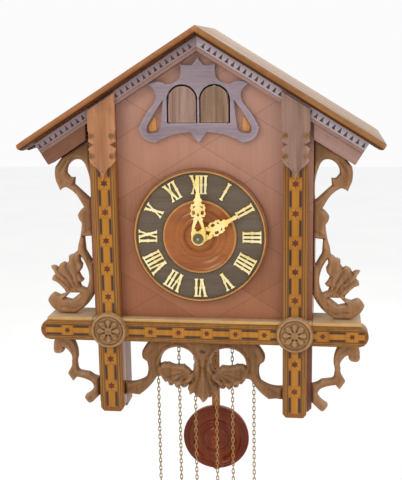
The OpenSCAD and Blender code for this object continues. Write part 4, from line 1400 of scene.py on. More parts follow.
@dataclass
class InlaidFrame:
    """The pilasters, the beam with its shelf, and their inlaid bands."""

    pilaster_x: float = PILASTER_X
    pilaster_half: float = 15.0
    beam_half: float = 207.0

    def pilasters(self) -> None:
        """The strips above and below the beam on both sides."""
        x0, x1 = self.pilaster_x - self.pilaster_half, self.pilaster_x + self.pilaster_half
        upper = prism([(x0, SHELF_Z), (x1, SHELF_Z), (x1, slope_z(x1, FASCIA_DROP)),
                       (x0, slope_z(x0, FASCIA_DROP))], FRONT_Y, FACE_Y, 0.7)
        lower = prism([(x0 + 4, POST_FOOT), (x1 - 4, POST_FOOT), (x1, POST_FOOT + 5),
                       (x1, BEAM_BOTTOM), (x0, BEAM_BOTTOM), (x0, POST_FOOT + 5)],
                      FRONT_Y, INNER_Y, 0.7)
        made = Shape().add(upper, 0).add(lower, 0)
        bands = (InlaidBand(SHELF_Z + 0.5, 122, self.pilaster_x, self.pilaster_half, True, -6.0),
                 InlaidBand(POST_FOOT + 5, BEAM_BOTTOM - 0.5, self.pilaster_x, self.pilaster_half,
                            True, -160.0))
        for band in bands:
            made.add(band.shape())
        pair("pilasters", made, inlay_finishes(True), (["pilasters"], ()))

    def beam(self) -> None:
        """The beam with its rounded ends."""
        r = (BEAM_TOP - BEAM_BOTTOM) / 2
        z = (BEAM_TOP + BEAM_BOTTOM) / 2
        right = [(self.beam_half - r + r * math.sin(a), z + r * math.cos(a))
                 for a in (math.pi * i / 16 for i in range(17))]
        left = [(-x, zz) for x, zz in reversed(right)]
        made = Shape().add(prism(right + left, FRONT_Y, INNER_Y, 0.9), 0)
        made.add(InlaidBand(-self.beam_half + 5, self.beam_half - 5, z, r * 0.96, False,
                            7.5, 35.9).shape())
        piece("beam_inlaid", made, inlay_finishes(False), "case", ["beam"])

    def shelf(self) -> None:
        """The board on the beam, its nose rounded."""
        half = self.beam_half - 9
        right = prism([(CASE_X, BEAM_TOP), (half, BEAM_TOP), (half, SHELF_Z), (CASE_X, SHELF_Z)],
                      FRONT_Y, FRONT_Y + 48, 1.4, 3)
        nose = prism([(-CASE_X, BEAM_TOP), (CASE_X, BEAM_TOP), (CASE_X, SHELF_Z),
                      (-CASE_X, SHELF_Z)], FRONT_Y, FACE_Y, 1.4, 3)
        made = Shape().add(right).add(right.mirror()).add(nose)
        piece("shelf_board", made, [Palette.SHELF], "case", ["shelf"])

    def build(self) -> None:
        """Makes the strips, the beam and the shelf."""
        self.pilasters()
        self.beam()
        self.shelf()


# ---- carvings ----


@dataclass
class Brackets:
    """The openwork brackets beside the case and below the beam."""

    front: float = INNER_Y - 7.0
    thick: float = 10.0

    def side_veins(self) -> list[Vein]:
        """The ribs of the leaf and the lines along the stems of a side bracket."""
        ribs = [([(158, -84), (163, -62), (171, -33)], 1.1, 1.5),
                ([(160, -80), (172, -60), (183, -43)], 0.9, 1.2),
                ([(161, -81), (176, -64), (194, -46)], 1.0, 1.5),
                ([(163, -83), (177, -71), (193, -61)], 1.0, 1.3),
                ([(159, -76), (158, -58), (155, -43)], 0.9, 1.1),
                ([(158, -76), (156, -68), (154, -63)], 0.8, 0.9)]
        cuts = [([(160, -80), (168, -58), (176, -44)], 1.0, -1.9),
                ([(161, -81), (175, -61), (187, -49)], 1.0, -1.8),
                ([(162, -83), (176, -67), (190, -56)], 1.0, -1.8),
                ([(158, -78), (160, -58), (163, -36)], 1.0, -1.7),
                ([(164, -84), (174, -76), (182, -73)], 0.9, -1.4),
                ([(141, -78), (150, -92), (166, -99), (184, -97)], 0.9, -1.6),
                ([(144, -24), (146, -44), (147, -62), (150, -76), (158, -90)], 0.9, -1.4),
                ([(149, 30), (160, 46), (172, 56)], 0.9, -1.3),
                ([(143, 84), (154, 96), (168, 94), (177, 80)], 0.9, -1.4),
                ([(176, 64), (171, 74), (163, 68)], 1.0, -1.2), ([(140, 6), (152, -1)], 1.2, -1.6),
                ([(140, -14), (152, -18)], 1.2, -1.4)]
        return [Vein(*row) for row in ribs + cuts]

    def side(self) -> Shape:
        """The right side bracket: a ring at the top, a stem, a leaf and a curl on the shelf."""
        low = 41.0 / PITCH_COS
        rows = [(CASE_X, slope_z(CASE_X, low), 0), (175, slope_z(175, low), 0), (184, 84, 1),
                (184, 66), (179, 54, -1), (171, 58, -2), (154, 42), (149, 33, 1), (157.5, 23, 1),
                (153, 13, -1), (158.5, -15), (160, -24, 0.5), (165.5, -28, 0.3), (171.5, -30, 0.2),
                (171.5, -36, 0.2), (174.5, -40.5), (178.5, -38.4, 0.2), (183.5, -41, 0.2),
                (186.5, -46), (190.5, -43.2, 0.2), (196, -44, 0.3), (192.5, -49.5), (191, -54.5),
                (194.4, -57.8, 0.2), (195, -62.5, 0.3), (189.5, -64.5), (187, -67),
                (183, -70.5, 0.2), (181, -73, -1), (178, -80), (186, -82, 0.5), (194, -79, 1),
                (202, -89, 4), (182, SHELF_Z), (166, SHELF_Z, 4), (CASE_X, -75)]
        ring = [(140.5, 44, 3), (145, 86, 4), (160, 92, 3), (169, 76), (165, 71, 0.5), (159, 71),
                (160, 62)]
        stem = [(141, -4), (150, -5), (149, -22), (141, -36)]
        leaf = [(156, -30, -2), (146, -56, -1), (150, -73), (157, -70), (158.5, -65),
                (155.5, -64.4), (153, -61.5), (156.6, -57), (159, -52), (155, -46.5), (154, -41),
                (156.8, -36)]
        curl = [(158, -79), (172, -79), (179, -86), (170, -88)]
        return Carving([outline(r) for r in (rows, ring, stem, leaf, curl)],
                       self.front + self.thick, self.thick, 3.4, 4.6,
                       veins=self.side_veins()).shape()

    def lower(self) -> Shape:
        """The right lower bracket: a chain of three small scrolls."""
        rows = [(174, BEAM_BOTTOM), (191, BEAM_BOTTOM, 2), (197.5, -152, 5), (188, -161, 2),
                (183.5, -153, -1), (177, -158, -2), (174, -171, -1), (176, -181), (180, -188),
                (173, -199), (168, -193, -1), (150, -198, -1.5), (146, -207, -1), (155, -216, 3),
                (156, -225, 3), (147, -226), (CASE_X, -217), (CASE_X, -192, -1), (150, -186),
                (163, -184, -1), (166, -178, -1), (165, -165, 3)]
        veins = [Vein([(184, -140), (172, -150), (170, -170), (172, -184)], 0.9, -1.5),
                 Vein([(168, -188), (152, -192), (142, -202)], 0.9, -1.5),
                 Vein(circle(190.5, -153.5, 2.2, 10), 0.8, -1.2),
                 Vein(circle(150.5, -220.5, 1.8, 10), 0.8, -1.1)]
        return Carving([outline(rows)], self.front + self.thick, self.thick, 3.6, 4.4,
                       veins=veins).shape()

    def build(self) -> None:
        """Makes the brackets of both sides."""
        carved = [Palette.CARVED]
        pair("bracket", self.side(), carved,
             (["side_bracket_right"], ["side_bracket_left"]), 50)
        pair("lower_bracket", self.lower(), carved, (["lower_brackets"], ()), 50)


@dataclass
class Apron:
    """The carving below the middle of the beam: two rings with a leaf across each, and a drop."""

    front: float = INNER_Y - 12.0
    thick: float = 10.0

    def veins(self) -> list[Vein]:
        """The ribs of the leaves and the drop, and the lines round the rings."""
        rows: list[tuple[list[Point], float, float]] = [
            ([(0, -158), (0, -217)], 1.4, 1.8), ([(1.5, -170), (6, -190), (10, -210)], 1.0, -1.9),
            ([(4, -172), (11, -190), (17, -208)], 1.0, 1.2),
            ([(8, -176), (12, -188), (16, -195)], 1.1, -2.4),
            ([(5, -166), (8.5, -178), (13, -188)], 0.9, 1.0)]
        for end, sink in (((54, -176), -1.0), ((53, -183), 1.0), ((50, -188), -1.4),
                          ((46, -193), 1.1), ((41, -195), -1.5), ((35, -198), 1.1),
                          ((29, -197), -1.5), ((23, -197), 1.0)):
            rows.append(([(15, -180), ((15 + end[0]) / 2, (-180 + end[1]) / 2 + 2.0), end],
                         1.0, sink))
        rows += [([(62, -142), (69, -157), (67, -176), (76, -192), (96, -204)], 0.9, -1.5),
                 (circle(32.6, -169, 25.0, 40) + [(57.6, -169)], 1.5, 2.0),
                 (circle(32.6, -169, 28.2, 40) + [(60.8, -169)], 0.9, -1.5)]
        made = []
        for line, width, height in rows:
            made.append(Vein(line, width, height))
            made.append(Vein([(-x, z) for x, z in line], width, height))
        return made

    def shape(self) -> Shape:
        """The whole carving."""
        half = [(0, BEAM_BOTTOM), (66, BEAM_BOTTOM, 1), (78.5, -153, 1), (78, -163),
                (73, -167, -2), (74, -188, -3), (102, -195), (102, -213, -1), (84, -213, 2),
                (61, -188, -1), (54, -187, 0.3), (53, -190), (50, -194, 0.3), (46.5, -193.5),
                (45, -197.5, 0.3), (41.5, -199, 0.2), (38, -196.8), (36.5, -200, 0.3),
                (33, -202, 0.3), (29.5, -198.6), (27, -201, 0.3), (22.3, -200.5, 0.3), (17, -194),
                (19.4, -198, 0.2), (20.5, -203), (18.6, -206, 0.2), (18, -211, 0.2),
                (14.5, -208.5), (12, -208), (11, -210.5, 0.2), (10, -213, 0.2), (6.5, -213),
                (4, -216.5, 0.2), (0, -220.5)]
        eye = outline([(10, -167, 7), (33, -146.5, 7), (55.5, -170), (50, -167.6, 0.4),
                       (44, -167.5, 0.4), (36, -170.5, 0.3), (24, -170, 0.4), (19, -174.5),
                       (14, -180)])
        screw = circle(0, -151, 2.0, 14)
        return Carving([both_halves(half), eye, mirrored(eye), screw], self.front + self.thick,
                       self.thick, 3.2, 4.8, veins=self.veins()).shape()

    def build(self) -> None:
        """Makes the carving and its screw."""
        piece("apron_carving", self.shape(), [Palette.APRON], "case",
              ["apron"], 50)
        screw = lathe([(0, 0), (1.9, 0), (1.7, 0.9, 0.2), (0, 1.3)],
                      self.front + 5.0, 0, -151, 24)
        piece("apron_screw", screw, [Palette.PIN], "case")


@dataclass
class PostCaps:
    """The pointed plates at the top of the posts, each with four turned buttons."""

    middle: float = PILASTER_X
    half: float = 17.0
    thick: float = 6.0

    def build(self) -> None:
        """Makes the plates and the buttons."""
        m, h = self.middle, self.half
        drop = ROOF_T / PITCH_COS
        rows = [(m - h, slope_z(m - h, drop), 0), (m + h, slope_z(m + h, drop), 0),
                (m + h, 131, -1.2), (m + h, 118), (m + h - 6, 113.5), (m + h, 109, -1.2),
                (m + h - 1, 95, 1), (m + 8, 86, -1.5), (m, 71, -1.5), (m - 8, 86, 1),
                (m - h + 1, 95, -1.2), (m - h, 109), (m - h + 6, 113.5), (m - h, 118, -1.2),
                (m - h, 131)]
        veins = [Vein([(m - 9, 92), (m, 79), (m + 9, 92)], 1.0, -1.0)]
        plate = Carving([outline(rows)], FRONT_Y, self.thick, 4.6, 1.6, veins=veins).shape()
        made = Shape().add(plate, 0)
        for dx in (-12.4, 12.4):
            for z in (100, 124.5):
                made.add(lathe([(0.2, 0), (3.7, 0), (3.6, 0.8, 0.2), (2.7, 1.4, -0.2),
                                (1.9, 0.7, 0.3), (0, 1.5)], FRONT_Y - self.thick + 0.2,
                               m + dx, z, 32), 1)
        # The right cap takes the copy in painted shade, the left the copy in painted light.
        pair("post_cap", made, [Palette.CAP_RIGHT_SHADED, Palette.CARVED],
             (["post_caps"], ()), left=[Palette.CAP_LEFT_LIT, Palette.CARVED])


@dataclass
class Rosettes:
    """Turned bosses over the crossings, carved with eight petals."""

    middle: Point = (PILASTER_X, (SHELF_Z + BEAM_BOTTOM) / 2)
    radius: float = 23.0
    petals: int = 8

    def relief(self, x: np.ndarray, z: np.ndarray, d: np.ndarray) -> np.ndarray:
        """Height of the flower above the ground of the boss."""
        r = np.hypot(x - self.middle[0], z - self.middle[1])
        a = np.arctan2(z - self.middle[1], x - self.middle[0])
        rim = 1.2 * np.exp(-((r - 20.0) / 1.6) ** 2) + 1.0 * np.exp(-((r - 16.4) / 0.8) ** 2)
        wave = np.abs(np.cos(a * self.petals / 2))
        along = np.clip((r - 4.4) / 10.6, 0, 1)
        half = 0.93 * np.sin(np.pi * along ** 0.8) ** 0.55
        across = np.arccos(np.clip(wave, 0, 1)) / (np.pi / 2)
        petal = 2.6 * np.sqrt(np.clip(1 - (across / np.maximum(half, 0.05)) ** 2, 0, 1))
        petal = np.where((r > 4.4) & (r < 15.0), petal, 0)
        boss = np.where(r < 5.2, 3.6 * np.sqrt(np.clip(1 - (r / 5.2) ** 2, 0, 1)), 0)
        dimple = -1.4 * np.exp(-(r / 1.5) ** 2)
        return rim + petal + boss + dimple - 1.2 * np.exp(-((r - 18.1) / 0.6) ** 2)

    def build(self) -> None:
        """Makes the boss of each side."""
        made = Carving([circle(*self.middle, self.radius, 72)], FRONT_Y, 6.0, 3.2, 2.6, 1.15,
                       extra=self.relief).shape()
        pair("rosette", made, [Palette.ROSETTE], (["rosettes"], ()), 60)


# ---- doors and birds ----


@dataclass
class BirdDoors:
    """The fret round the two doors, the honey wood in its openings, and the doors."""

    inner_x: float = 2.8
    low_z: float = BIRD_FLOOR
    width: float = 33.6
    height: float = 43.5
    gap: float = 2.0
    fret_t: float = 7.4

    def arch(self, play: float) -> list[Point]:
        """The outline of the right door, or of its opening where it has play round it."""
        r = self.width / 2
        cx, top = self.inner_x + r, self.low_z + self.height - r
        reach = min(play, self.inner_x - 0.8)
        left = self.inner_x - min(play, self.inner_x - 1.2)
        right = self.inner_x + self.width + play
        low = self.low_z - (0.5 if play else 0)
        bend = [(cx + (r + reach) * math.cos(a), top + (r + reach) * math.sin(a))
                for a in (math.pi * i / 28 for i in range(1, 28))]
        return [(left, low), (right, low), (right, top)] + bend + [(left, top)]

    def fret(self) -> Shape:
        """The fret with its two tear-shaped openings and the two doorways."""
        rows = [(0, 114.4), (9.6, 127.5, 3), (53, 115.2, -5.5), (73, 133, -1.5), (54, 162, 5.5),
                (60.5, 185, -3.5), (39, 184.8, 9), (21.5, 208.6, 0.6), (7.2, 207.5, 0.5),
                (0, 216.5)]
        tear = outline([(42.8, 166, 1), (63, 135, 5), (55, 126.5, 2), (46.5, 134)])
        door = self.arch(self.gap)
        return Carving([both_halves(rows), tear, mirrored(tear), door, mirrored(door)], FACE_Y,
                       self.fret_t, self.fret_t - 1.1, 1.3, 3.0).shape()

    def door(self, y: float = FACE_Y - 7.0) -> Shape:
        """The right door, made of three upright boards with open joints, and its two pins."""
        made = Carving([self.arch(0.0)], y + 4.0, 4.0, 3.3, 0.9, 1.7, veins=[
            Vein([(self.inner_x + 11.4, 130), (self.inner_x + 11.0, 190)], 0.45, -0.7),
            Vein([(self.inner_x + 22.6, 130), (self.inner_x + 22.8, 190)], 0.45, -0.7),
            Vein([(self.inner_x + 17, 143), (self.inner_x + 16.2, 160)], 0.4, -0.5),
            Vein([(self.inner_x + 2, 152), (self.inner_x + 31, 150)], 0.35, -0.3)]).shape()
        x = self.inner_x + self.width - 1
        top = self.low_z + self.height - self.width / 2
        for z0, z1 in ((self.low_z - 3.5, self.low_z + 2.0), (top - 4, top + 13)):
            made.add(tube([(x, y + 0.8, z0), (x, y + 0.8, z1)], 0.78, steps=12), 1)
        return made

    def build(self) -> None:
        """Makes the fret, the inlays behind it and the doors."""
        piece("door_fret", self.fret(), [Palette.FRET], "case",
              ["door_surround"], 40)
        tear = outline([(53.5, 146, 1), (61.6, 135, 4), (55, 128.4, 1.5), (52.0, 132)])
        slip = prism(tear, FACE_Y - 1.6, FACE_Y + 0.4, 0.4)
        honey = Shape().add(slip).add(slip.mirror())
        piece("fret_inlays", honey, [Palette.HONEY], "case")
        steel = Palette.PIN
        right = self.door()
        piece("door_leaf_right", right, [Palette.DOOR_RIGHT, steel], "door_right",
              ["bird_door_right"])
        piece("door_leaf_left", right.mirror(), [Palette.DOOR_LEFT, steel],
              "door_left", ["bird_door_left"])


@dataclass
class Bird:
    """A small carved and painted bird on its slide."""

    name: str
    node: str
    x: float
    girth: float
    coat: Wood
    breast: Wood

    def section(self, y: float, z: float, rx: float, rz: float) -> list[Corner]:
        """An oval across the bird."""
        return [(self.x + rx * math.cos(a), y, z + rz * math.sin(a)) for a in around(28)]

    def body(self) -> Shape:
        """Body and head in one, from the tail to the brow."""
        g, y0, z0 = self.girth, INNER_Y, BIRD_FLOOR
        rows = [(44, 13.5, 0.8, 0.5), (42, 13.8, 2.4, 0.9), (36, 14.4, 2.9, 1.3),
                (30, 15.2, 3.6, 2.4), (26, 15.6, g * 0.72, g * 0.66),
                (21, 15.6, g * 0.95, g * 0.92), (16, 16.0, g, g * 0.98),
                (12, 17.6, g * 0.86, g * 0.9), (9.5, 20.4, 6.0, 6.4), (7.5, 22.6, 5.6, 5.7),
                (5.6, 23.4, 4.5, 4.5), (4.2, 23.6, 2.8, 2.8), (3.4, 23.6, 0.8, 0.8)]
        return grid_shape([self.section(y0 + dy + 1.5, z0 + dz, rx, rz)
                           for dy, dz, rx, rz in rows], caps=True)

    def wing(self, side: int) -> Shape:
        """A folded wing with three rows of feathers."""
        g, rows = self.girth, []
        for i in range(13):
            t = i / 12
            y = INNER_Y + 13 + 25 * t
            half = 4.6 * math.sin(math.pi * min(1.0, 0.16 + t * 0.84)) ** 0.8 + 0.5
            out = g * (0.96 - 0.55 * t * t) + 0.35 * math.sin(i * math.pi / 2)
            rows.append([(self.x + side * (out - 1.0 + 1.5 * math.cos(a)), y,
                          156.5 - 3.2 * t + half * math.sin(a))
                         for a in around(14)])
        shape = grid_shape(rows, caps=True)
        return shape if side > 0 else shape.mapped(lambda x, y, z: (x, y, z), flip=True)

    def build(self) -> None:
        """Makes the bird, its beak, eyes, legs and slide."""
        made = Shape().add(self.body(), 0).add(self.wing(1), 1).add(self.wing(-1), 1)
        beak = [self.section(INNER_Y + 5.4 - 4.9 * t, 162.2 - 0.4 * t, 1.9 * (1 - t) + 0.12,
                             1.6 * (1 - t) + 0.12) for t in (0, 0.3, 0.65, 1)]
        made.add(grid_shape(beak, caps=True), 2)
        for side in (-1, 1):
            made.add(lathe([(0, 0), (1.0, 0, 0.25), (0.01, 1.0)], 0, 0, 0, 16).mapped(
                lambda x, y, z, s=side: (self.x + s * (4.4 - y), INNER_Y + 8.6 + x * s, 164.6 + z)),
                3)
        made.add(tube([(self.x, INNER_Y + 24, 141), (self.x, INNER_Y + 24, 148.5)], 1.1), 2)
        made.add(box_shape((self.x - 3.4, INNER_Y + 9, 139.1), (self.x + 3.4, INNER_Y + 57, 141.4),
                           0.6), 4)
        finishes = [self.coat, self.breast, Palette.BEAK,
                    Palette.EYE, Palette.PINE]
        piece(self.name, made, finishes, self.node, [self.node], 50)


# ---- dial ----


@dataclass
class Dial:
    """The moulded rim, the blackened ring, the turned centre and the bone numerals."""

    radius: float = 84.0
    ring_y: float = FACE_Y - 10.0
    numeral_r: float = 64.4
    half_h: float = 11.5

    def rim(self) -> Shape:
        """The moulding round the dial."""
        r = self.radius
        return lathe([(r - 3.0, 0), (r - 3.0, 10.8, -0.3), (r - 1.2, 9.2, 0.4),
                      (r - 0.2, 7.4, 0.2), (r, 5.4, 0.2), (r, 0),
                      (r - 3.0, 0)], FACE_Y, steps=200)

    def bead(self) -> Shape:
        """The lighter bead at the rim's inner edge."""
        r = self.radius
        return lathe([(r - 4.6, 0), (r - 4.6, 10.8), (r - 4.3, 12.2, 0.3), (r - 3.6, 12.9, 0.3),
                      (r - 2.9, 12.2, 0.3), (r - 2.6, 10.8), (r - 2.6, 0),
                      (r - 4.6, 0)], FACE_Y, steps=200)

    def ring(self) -> Shape:
        """The flat ring that carries the numerals."""
        return lathe([(44.5, 0), (79.8, 0), (79.8, 9.6), (79.2, 10), (46.0, 10), (45.2, 9.4),
                      (44.5, 0)], FACE_Y, steps=200)

    def middle(self) -> Shape:
        """The turned centre: a bead, a wide cove, a step, a bead and a flat boss."""
        return lathe([(4.6, 0), (43.6, 0), (43.6, 12.6), (42.6, 12.7, 0.1), (41.4, 11.9),
                      (39.4, 10.6, -0.5), (32.0, 8.6, -0.5), (25.4, 9.6, -0.3), (22.4, 11.2, 0.3),
                      (21.2, 12.2, 0.4), (19.8, 12.2, 0.2), (19.0, 11.2), (18.6, 10.2),
                      (16.9, 10.4, 0.2), (15.9, 11.6, 0.3), (13.0, 12.0, 0.1), (8.0, 12.2),
                      (4.6, 12.2), (4.6, 0)], FACE_Y, steps=200)

    def collar(self) -> Shape:
        """The lighter bead round the centre."""
        return lathe([(43.4, 0), (45.4, 0), (45.4, 11.2), (45.2, 12.3, 0.2), (44.4, 13.0, 0.3),
                      (43.6, 12.6, 0.1), (43.4, 11.6), (43.4, 0)],
                     FACE_Y, steps=200)

    def stroke(self, x_in: float, x_out: float, width: float, serif: float) -> list[Point]:
        """One stroke of a numeral, from the centre outwards, with flared ends and a middle knop."""
        h = self.half_h
        rows = [(serif * 0.86, h), (serif, h - 0.9), (serif * 0.55, h - 1.9), (width, h - 3.2),
                (width, 2.0), (width + 0.75, 0.0), (width, -2.0), (width, -h + 3.2),
                (serif * 0.55, -h + 1.9), (serif, -h + 0.9), (serif * 0.86, -h)]

        def lean(z: float) -> float:
            return x_in + (x_out - x_in) * (z + h) / (2 * h)

        right = [(lean(z) + w, z) for w, z in rows]
        left = [(lean(z) - w, z) for w, z in reversed(rows)]
        return list(reversed(right + left))

    def numeral(self, hour: int) -> Shape:
        """The numeral of an hour, upright at the top of the dial and moved to its place.

        Args:
            hour: From 1 to 12.

        Returns:
            Its strokes.
        """
        word = ["I", "II", "III", "IIII", "V", "VI", "VII", "VIII", "IX", "X", "XI",
                "XII"][hour - 1]
        widths = {"I": 5.2, "V": 10.8, "X": 11.6}
        at = -sum(widths[c] for c in word) / 2
        strokes: list[tuple[float, float, float, float, float]] = []
        for c in word:
            m = at + widths[c] / 2
            if c == "I":
                strokes.append((m, m, 1.45, 2.75, 0.0))
            elif c == "V":
                strokes.append((m + 0.4, m - 3.6, 1.5, 2.6, 0.0))
                strokes.append((m + 1.0, m + 3.8, 1.0, 2.2, 0.12))
            else:
                strokes.append((m + 3.7, m - 3.7, 1.5, 2.6, 0.0))
                strokes.append((m - 3.8, m + 3.8, 1.0, 2.3, 0.12))
            at += widths[c]
        made = Shape()
        for x_in, x_out, width, serif, lower in strokes:
            line = self.stroke(x_in, x_out, width, serif)
            line = [(x * (0.96 + 0.006 * z), z + self.numeral_r) for x, z in line]
            line = turned_by(line, 30 * hour)
            made.add(prism(line, self.ring_y - 2.4 + lower, self.ring_y, 0.35, 2))
        return made

    def build(self) -> None:
        """Makes the dial and its numerals."""
        edge = Palette.RIM_EDGE
        piece("dial_rim_turned", Shape().add(self.rim(), 0).add(self.bead(), 1),
              [Palette.RIM, edge], "case", ["dial_rim"], 40)
        plate = Shape().add(self.ring(), 0).add(self.middle(), 1).add(self.collar(), 2)
        piece("dial_plate_turned", plate, [Palette.RING, Palette.CENTRE,
                                           edge], "case", ["dial_plate"], 40)
        words = Shape()
        for hour in range(1, 13):
            words.add(self.numeral(hour))
        piece("numerals_bone", words, [Palette.NUMERAL], "case", ["numerals"])


@dataclass
class Hands:
    """The fretted hands and the nut that holds them."""

    hour_y: float = FRONT_Y - 4.0
    minute_y: float = FRONT_Y - 8.0
    thick: float = 1.6

    def scrolls(self, low: float, high: float, half: float) -> list[list[Point]]:
        """The cuts of the scroll block: a pair of commas on each side."""
        k = high - low
        right = [outline([(half * 0.26, low + k * 0.86, -0.6), (half * 0.74, low + k * 0.82, -0.8),
                          (half * 0.72, low + k * 0.54), (half * 0.52, low + k * 0.68, 0.4)]),
                 outline([(half * 0.44, low + k * 0.48, 0.5), (half * 0.86, low + k * 0.38),
                          (half * 0.70, low + k * 0.10, -0.5), (half * 0.34, low + k * 0.18)])]
        return right + [mirrored(r) for r in right]

    def minute(self) -> Shape:
        """The minute hand, pointing up."""
        half = [(0, -8.8), (5.2, -7.2), (8.6, -2), (8.4, 3), (8.8, 7, 0.4), (7.9, 12, 0.2),
                (6.8, 18, 0.2), (5.4, 22), (6.4, 24.6), (4.6, 25.4), (4.6, 26.6), (8.2, 27.0, 0.5),
                (9.4, 30, -0.3), (8.4, 33.5, 0.4), (9.4, 38, 0.5), (8.2, 42.6), (6.0, 42.0, 0.3),
                (4.2, 44.4), (3.2, 45.0), (5.4, 46.4, -0.4), (2.9, 50, -0.3), (1.9, 56), (2.3, 72),
                (2.0, 75.6), (0, 76.4)]
        tear = outline([(0, 34.0, 0.4), (-1.7, 28.6, 0.3), (0, 26.4, 0.3), (1.7, 28.6, 0.4)])
        eye = outline([(0, 24.4, 0.3), (-3.0, 17.4, 0.2), (-4.9, 12.4, 1.2), (-3.2, 8.6, 1.0),
                       (0, 7.6, 1.0), (3.2, 8.6, 1.2), (4.9, 12.4, 0.2), (3.0, 17.4, 0.3)])
        loops = [both_halves(half), eye, circle(0, 0, 2.55, 20), tear]
        return Carving(loops + self.scrolls(27, 43, 9.0), self.minute_y, self.thick, 1.25, 0.7,
                       1.3).shape()

    def hour(self) -> Shape:
        """The hour hand, pointing up before it is turned to its hour."""
        half = [(0, -8.0), (5.0, -6.6), (7.8, -2), (7.4, 3, -0.2), (7.4, 8, 0.4), (8.2, 12, 0.4),
                (7.2, 16.2), (4.6, 16.6), (4.6, 17.4), (8.0, 17.8, 0.5), (9.2, 21, -0.3),
                (8.2, 24, 0.4), (9.0, 29, 0.5), (7.6, 33.4), (5.6, 33.0, 0.3), (4.0, 35.2),
                (5.0, 37.2, -0.4), (2.6, 40.2, -0.3), (1.9, 46), (2.6, 52, 0.3), (1.8, 54.8),
                (0, 56.0)]
        eye = outline([(0, 17.4, 0.4), (-3.8, 12.0, 0.9), (0, 8.6, 0.9), (3.8, 12.0, 0.4)])
        loops = [both_halves(half), circle(0, 0, 4.05, 24), eye]
        loops += self.scrolls(18, 34, 8.6)
        turned = [turned_by(loop, 60) for loop in loops]
        return Carving(turned, self.hour_y, self.thick, 1.25, 0.7, 1.3).shape()

    def nut(self) -> Shape:
        """A flanged round nut with a domed end."""
        y = self.minute_y - self.thick
        nut = lathe([(1.6, 0), (6.6, 0), (6.6, 0.9), (6.2, 1.4, 0.1), (4.6, 1.7, -0.1), (4.4, 3.4),
                     (4.0, 3.9, 0.1), (2.3, 4.1), (2.1, 3.7), (1.6, 3.6), (1.6, 0)], y, steps=64)
        end = lathe([(0, 0), (1.5, 0), (1.5, 4.3, 0.15), (0, 5.0)], y, steps=32)
        return Shape().add(nut, 0).add(end, 1)

    def build(self) -> None:
        """Makes both hands and the nut."""
        bone = [Palette.HAND]
        piece("hour_hand_fretted", self.hour(), bone, "hour", ["hour_hand"], 40)
        piece("minute_hand_fretted", self.minute(), bone, "minute", ["minute_hand"], 40)
        piece("hand_nut_turned", self.nut(), [Palette.NUT, Palette.STEEL],
              "minute", ["hand_nut"], 40)


# ---- drive ----


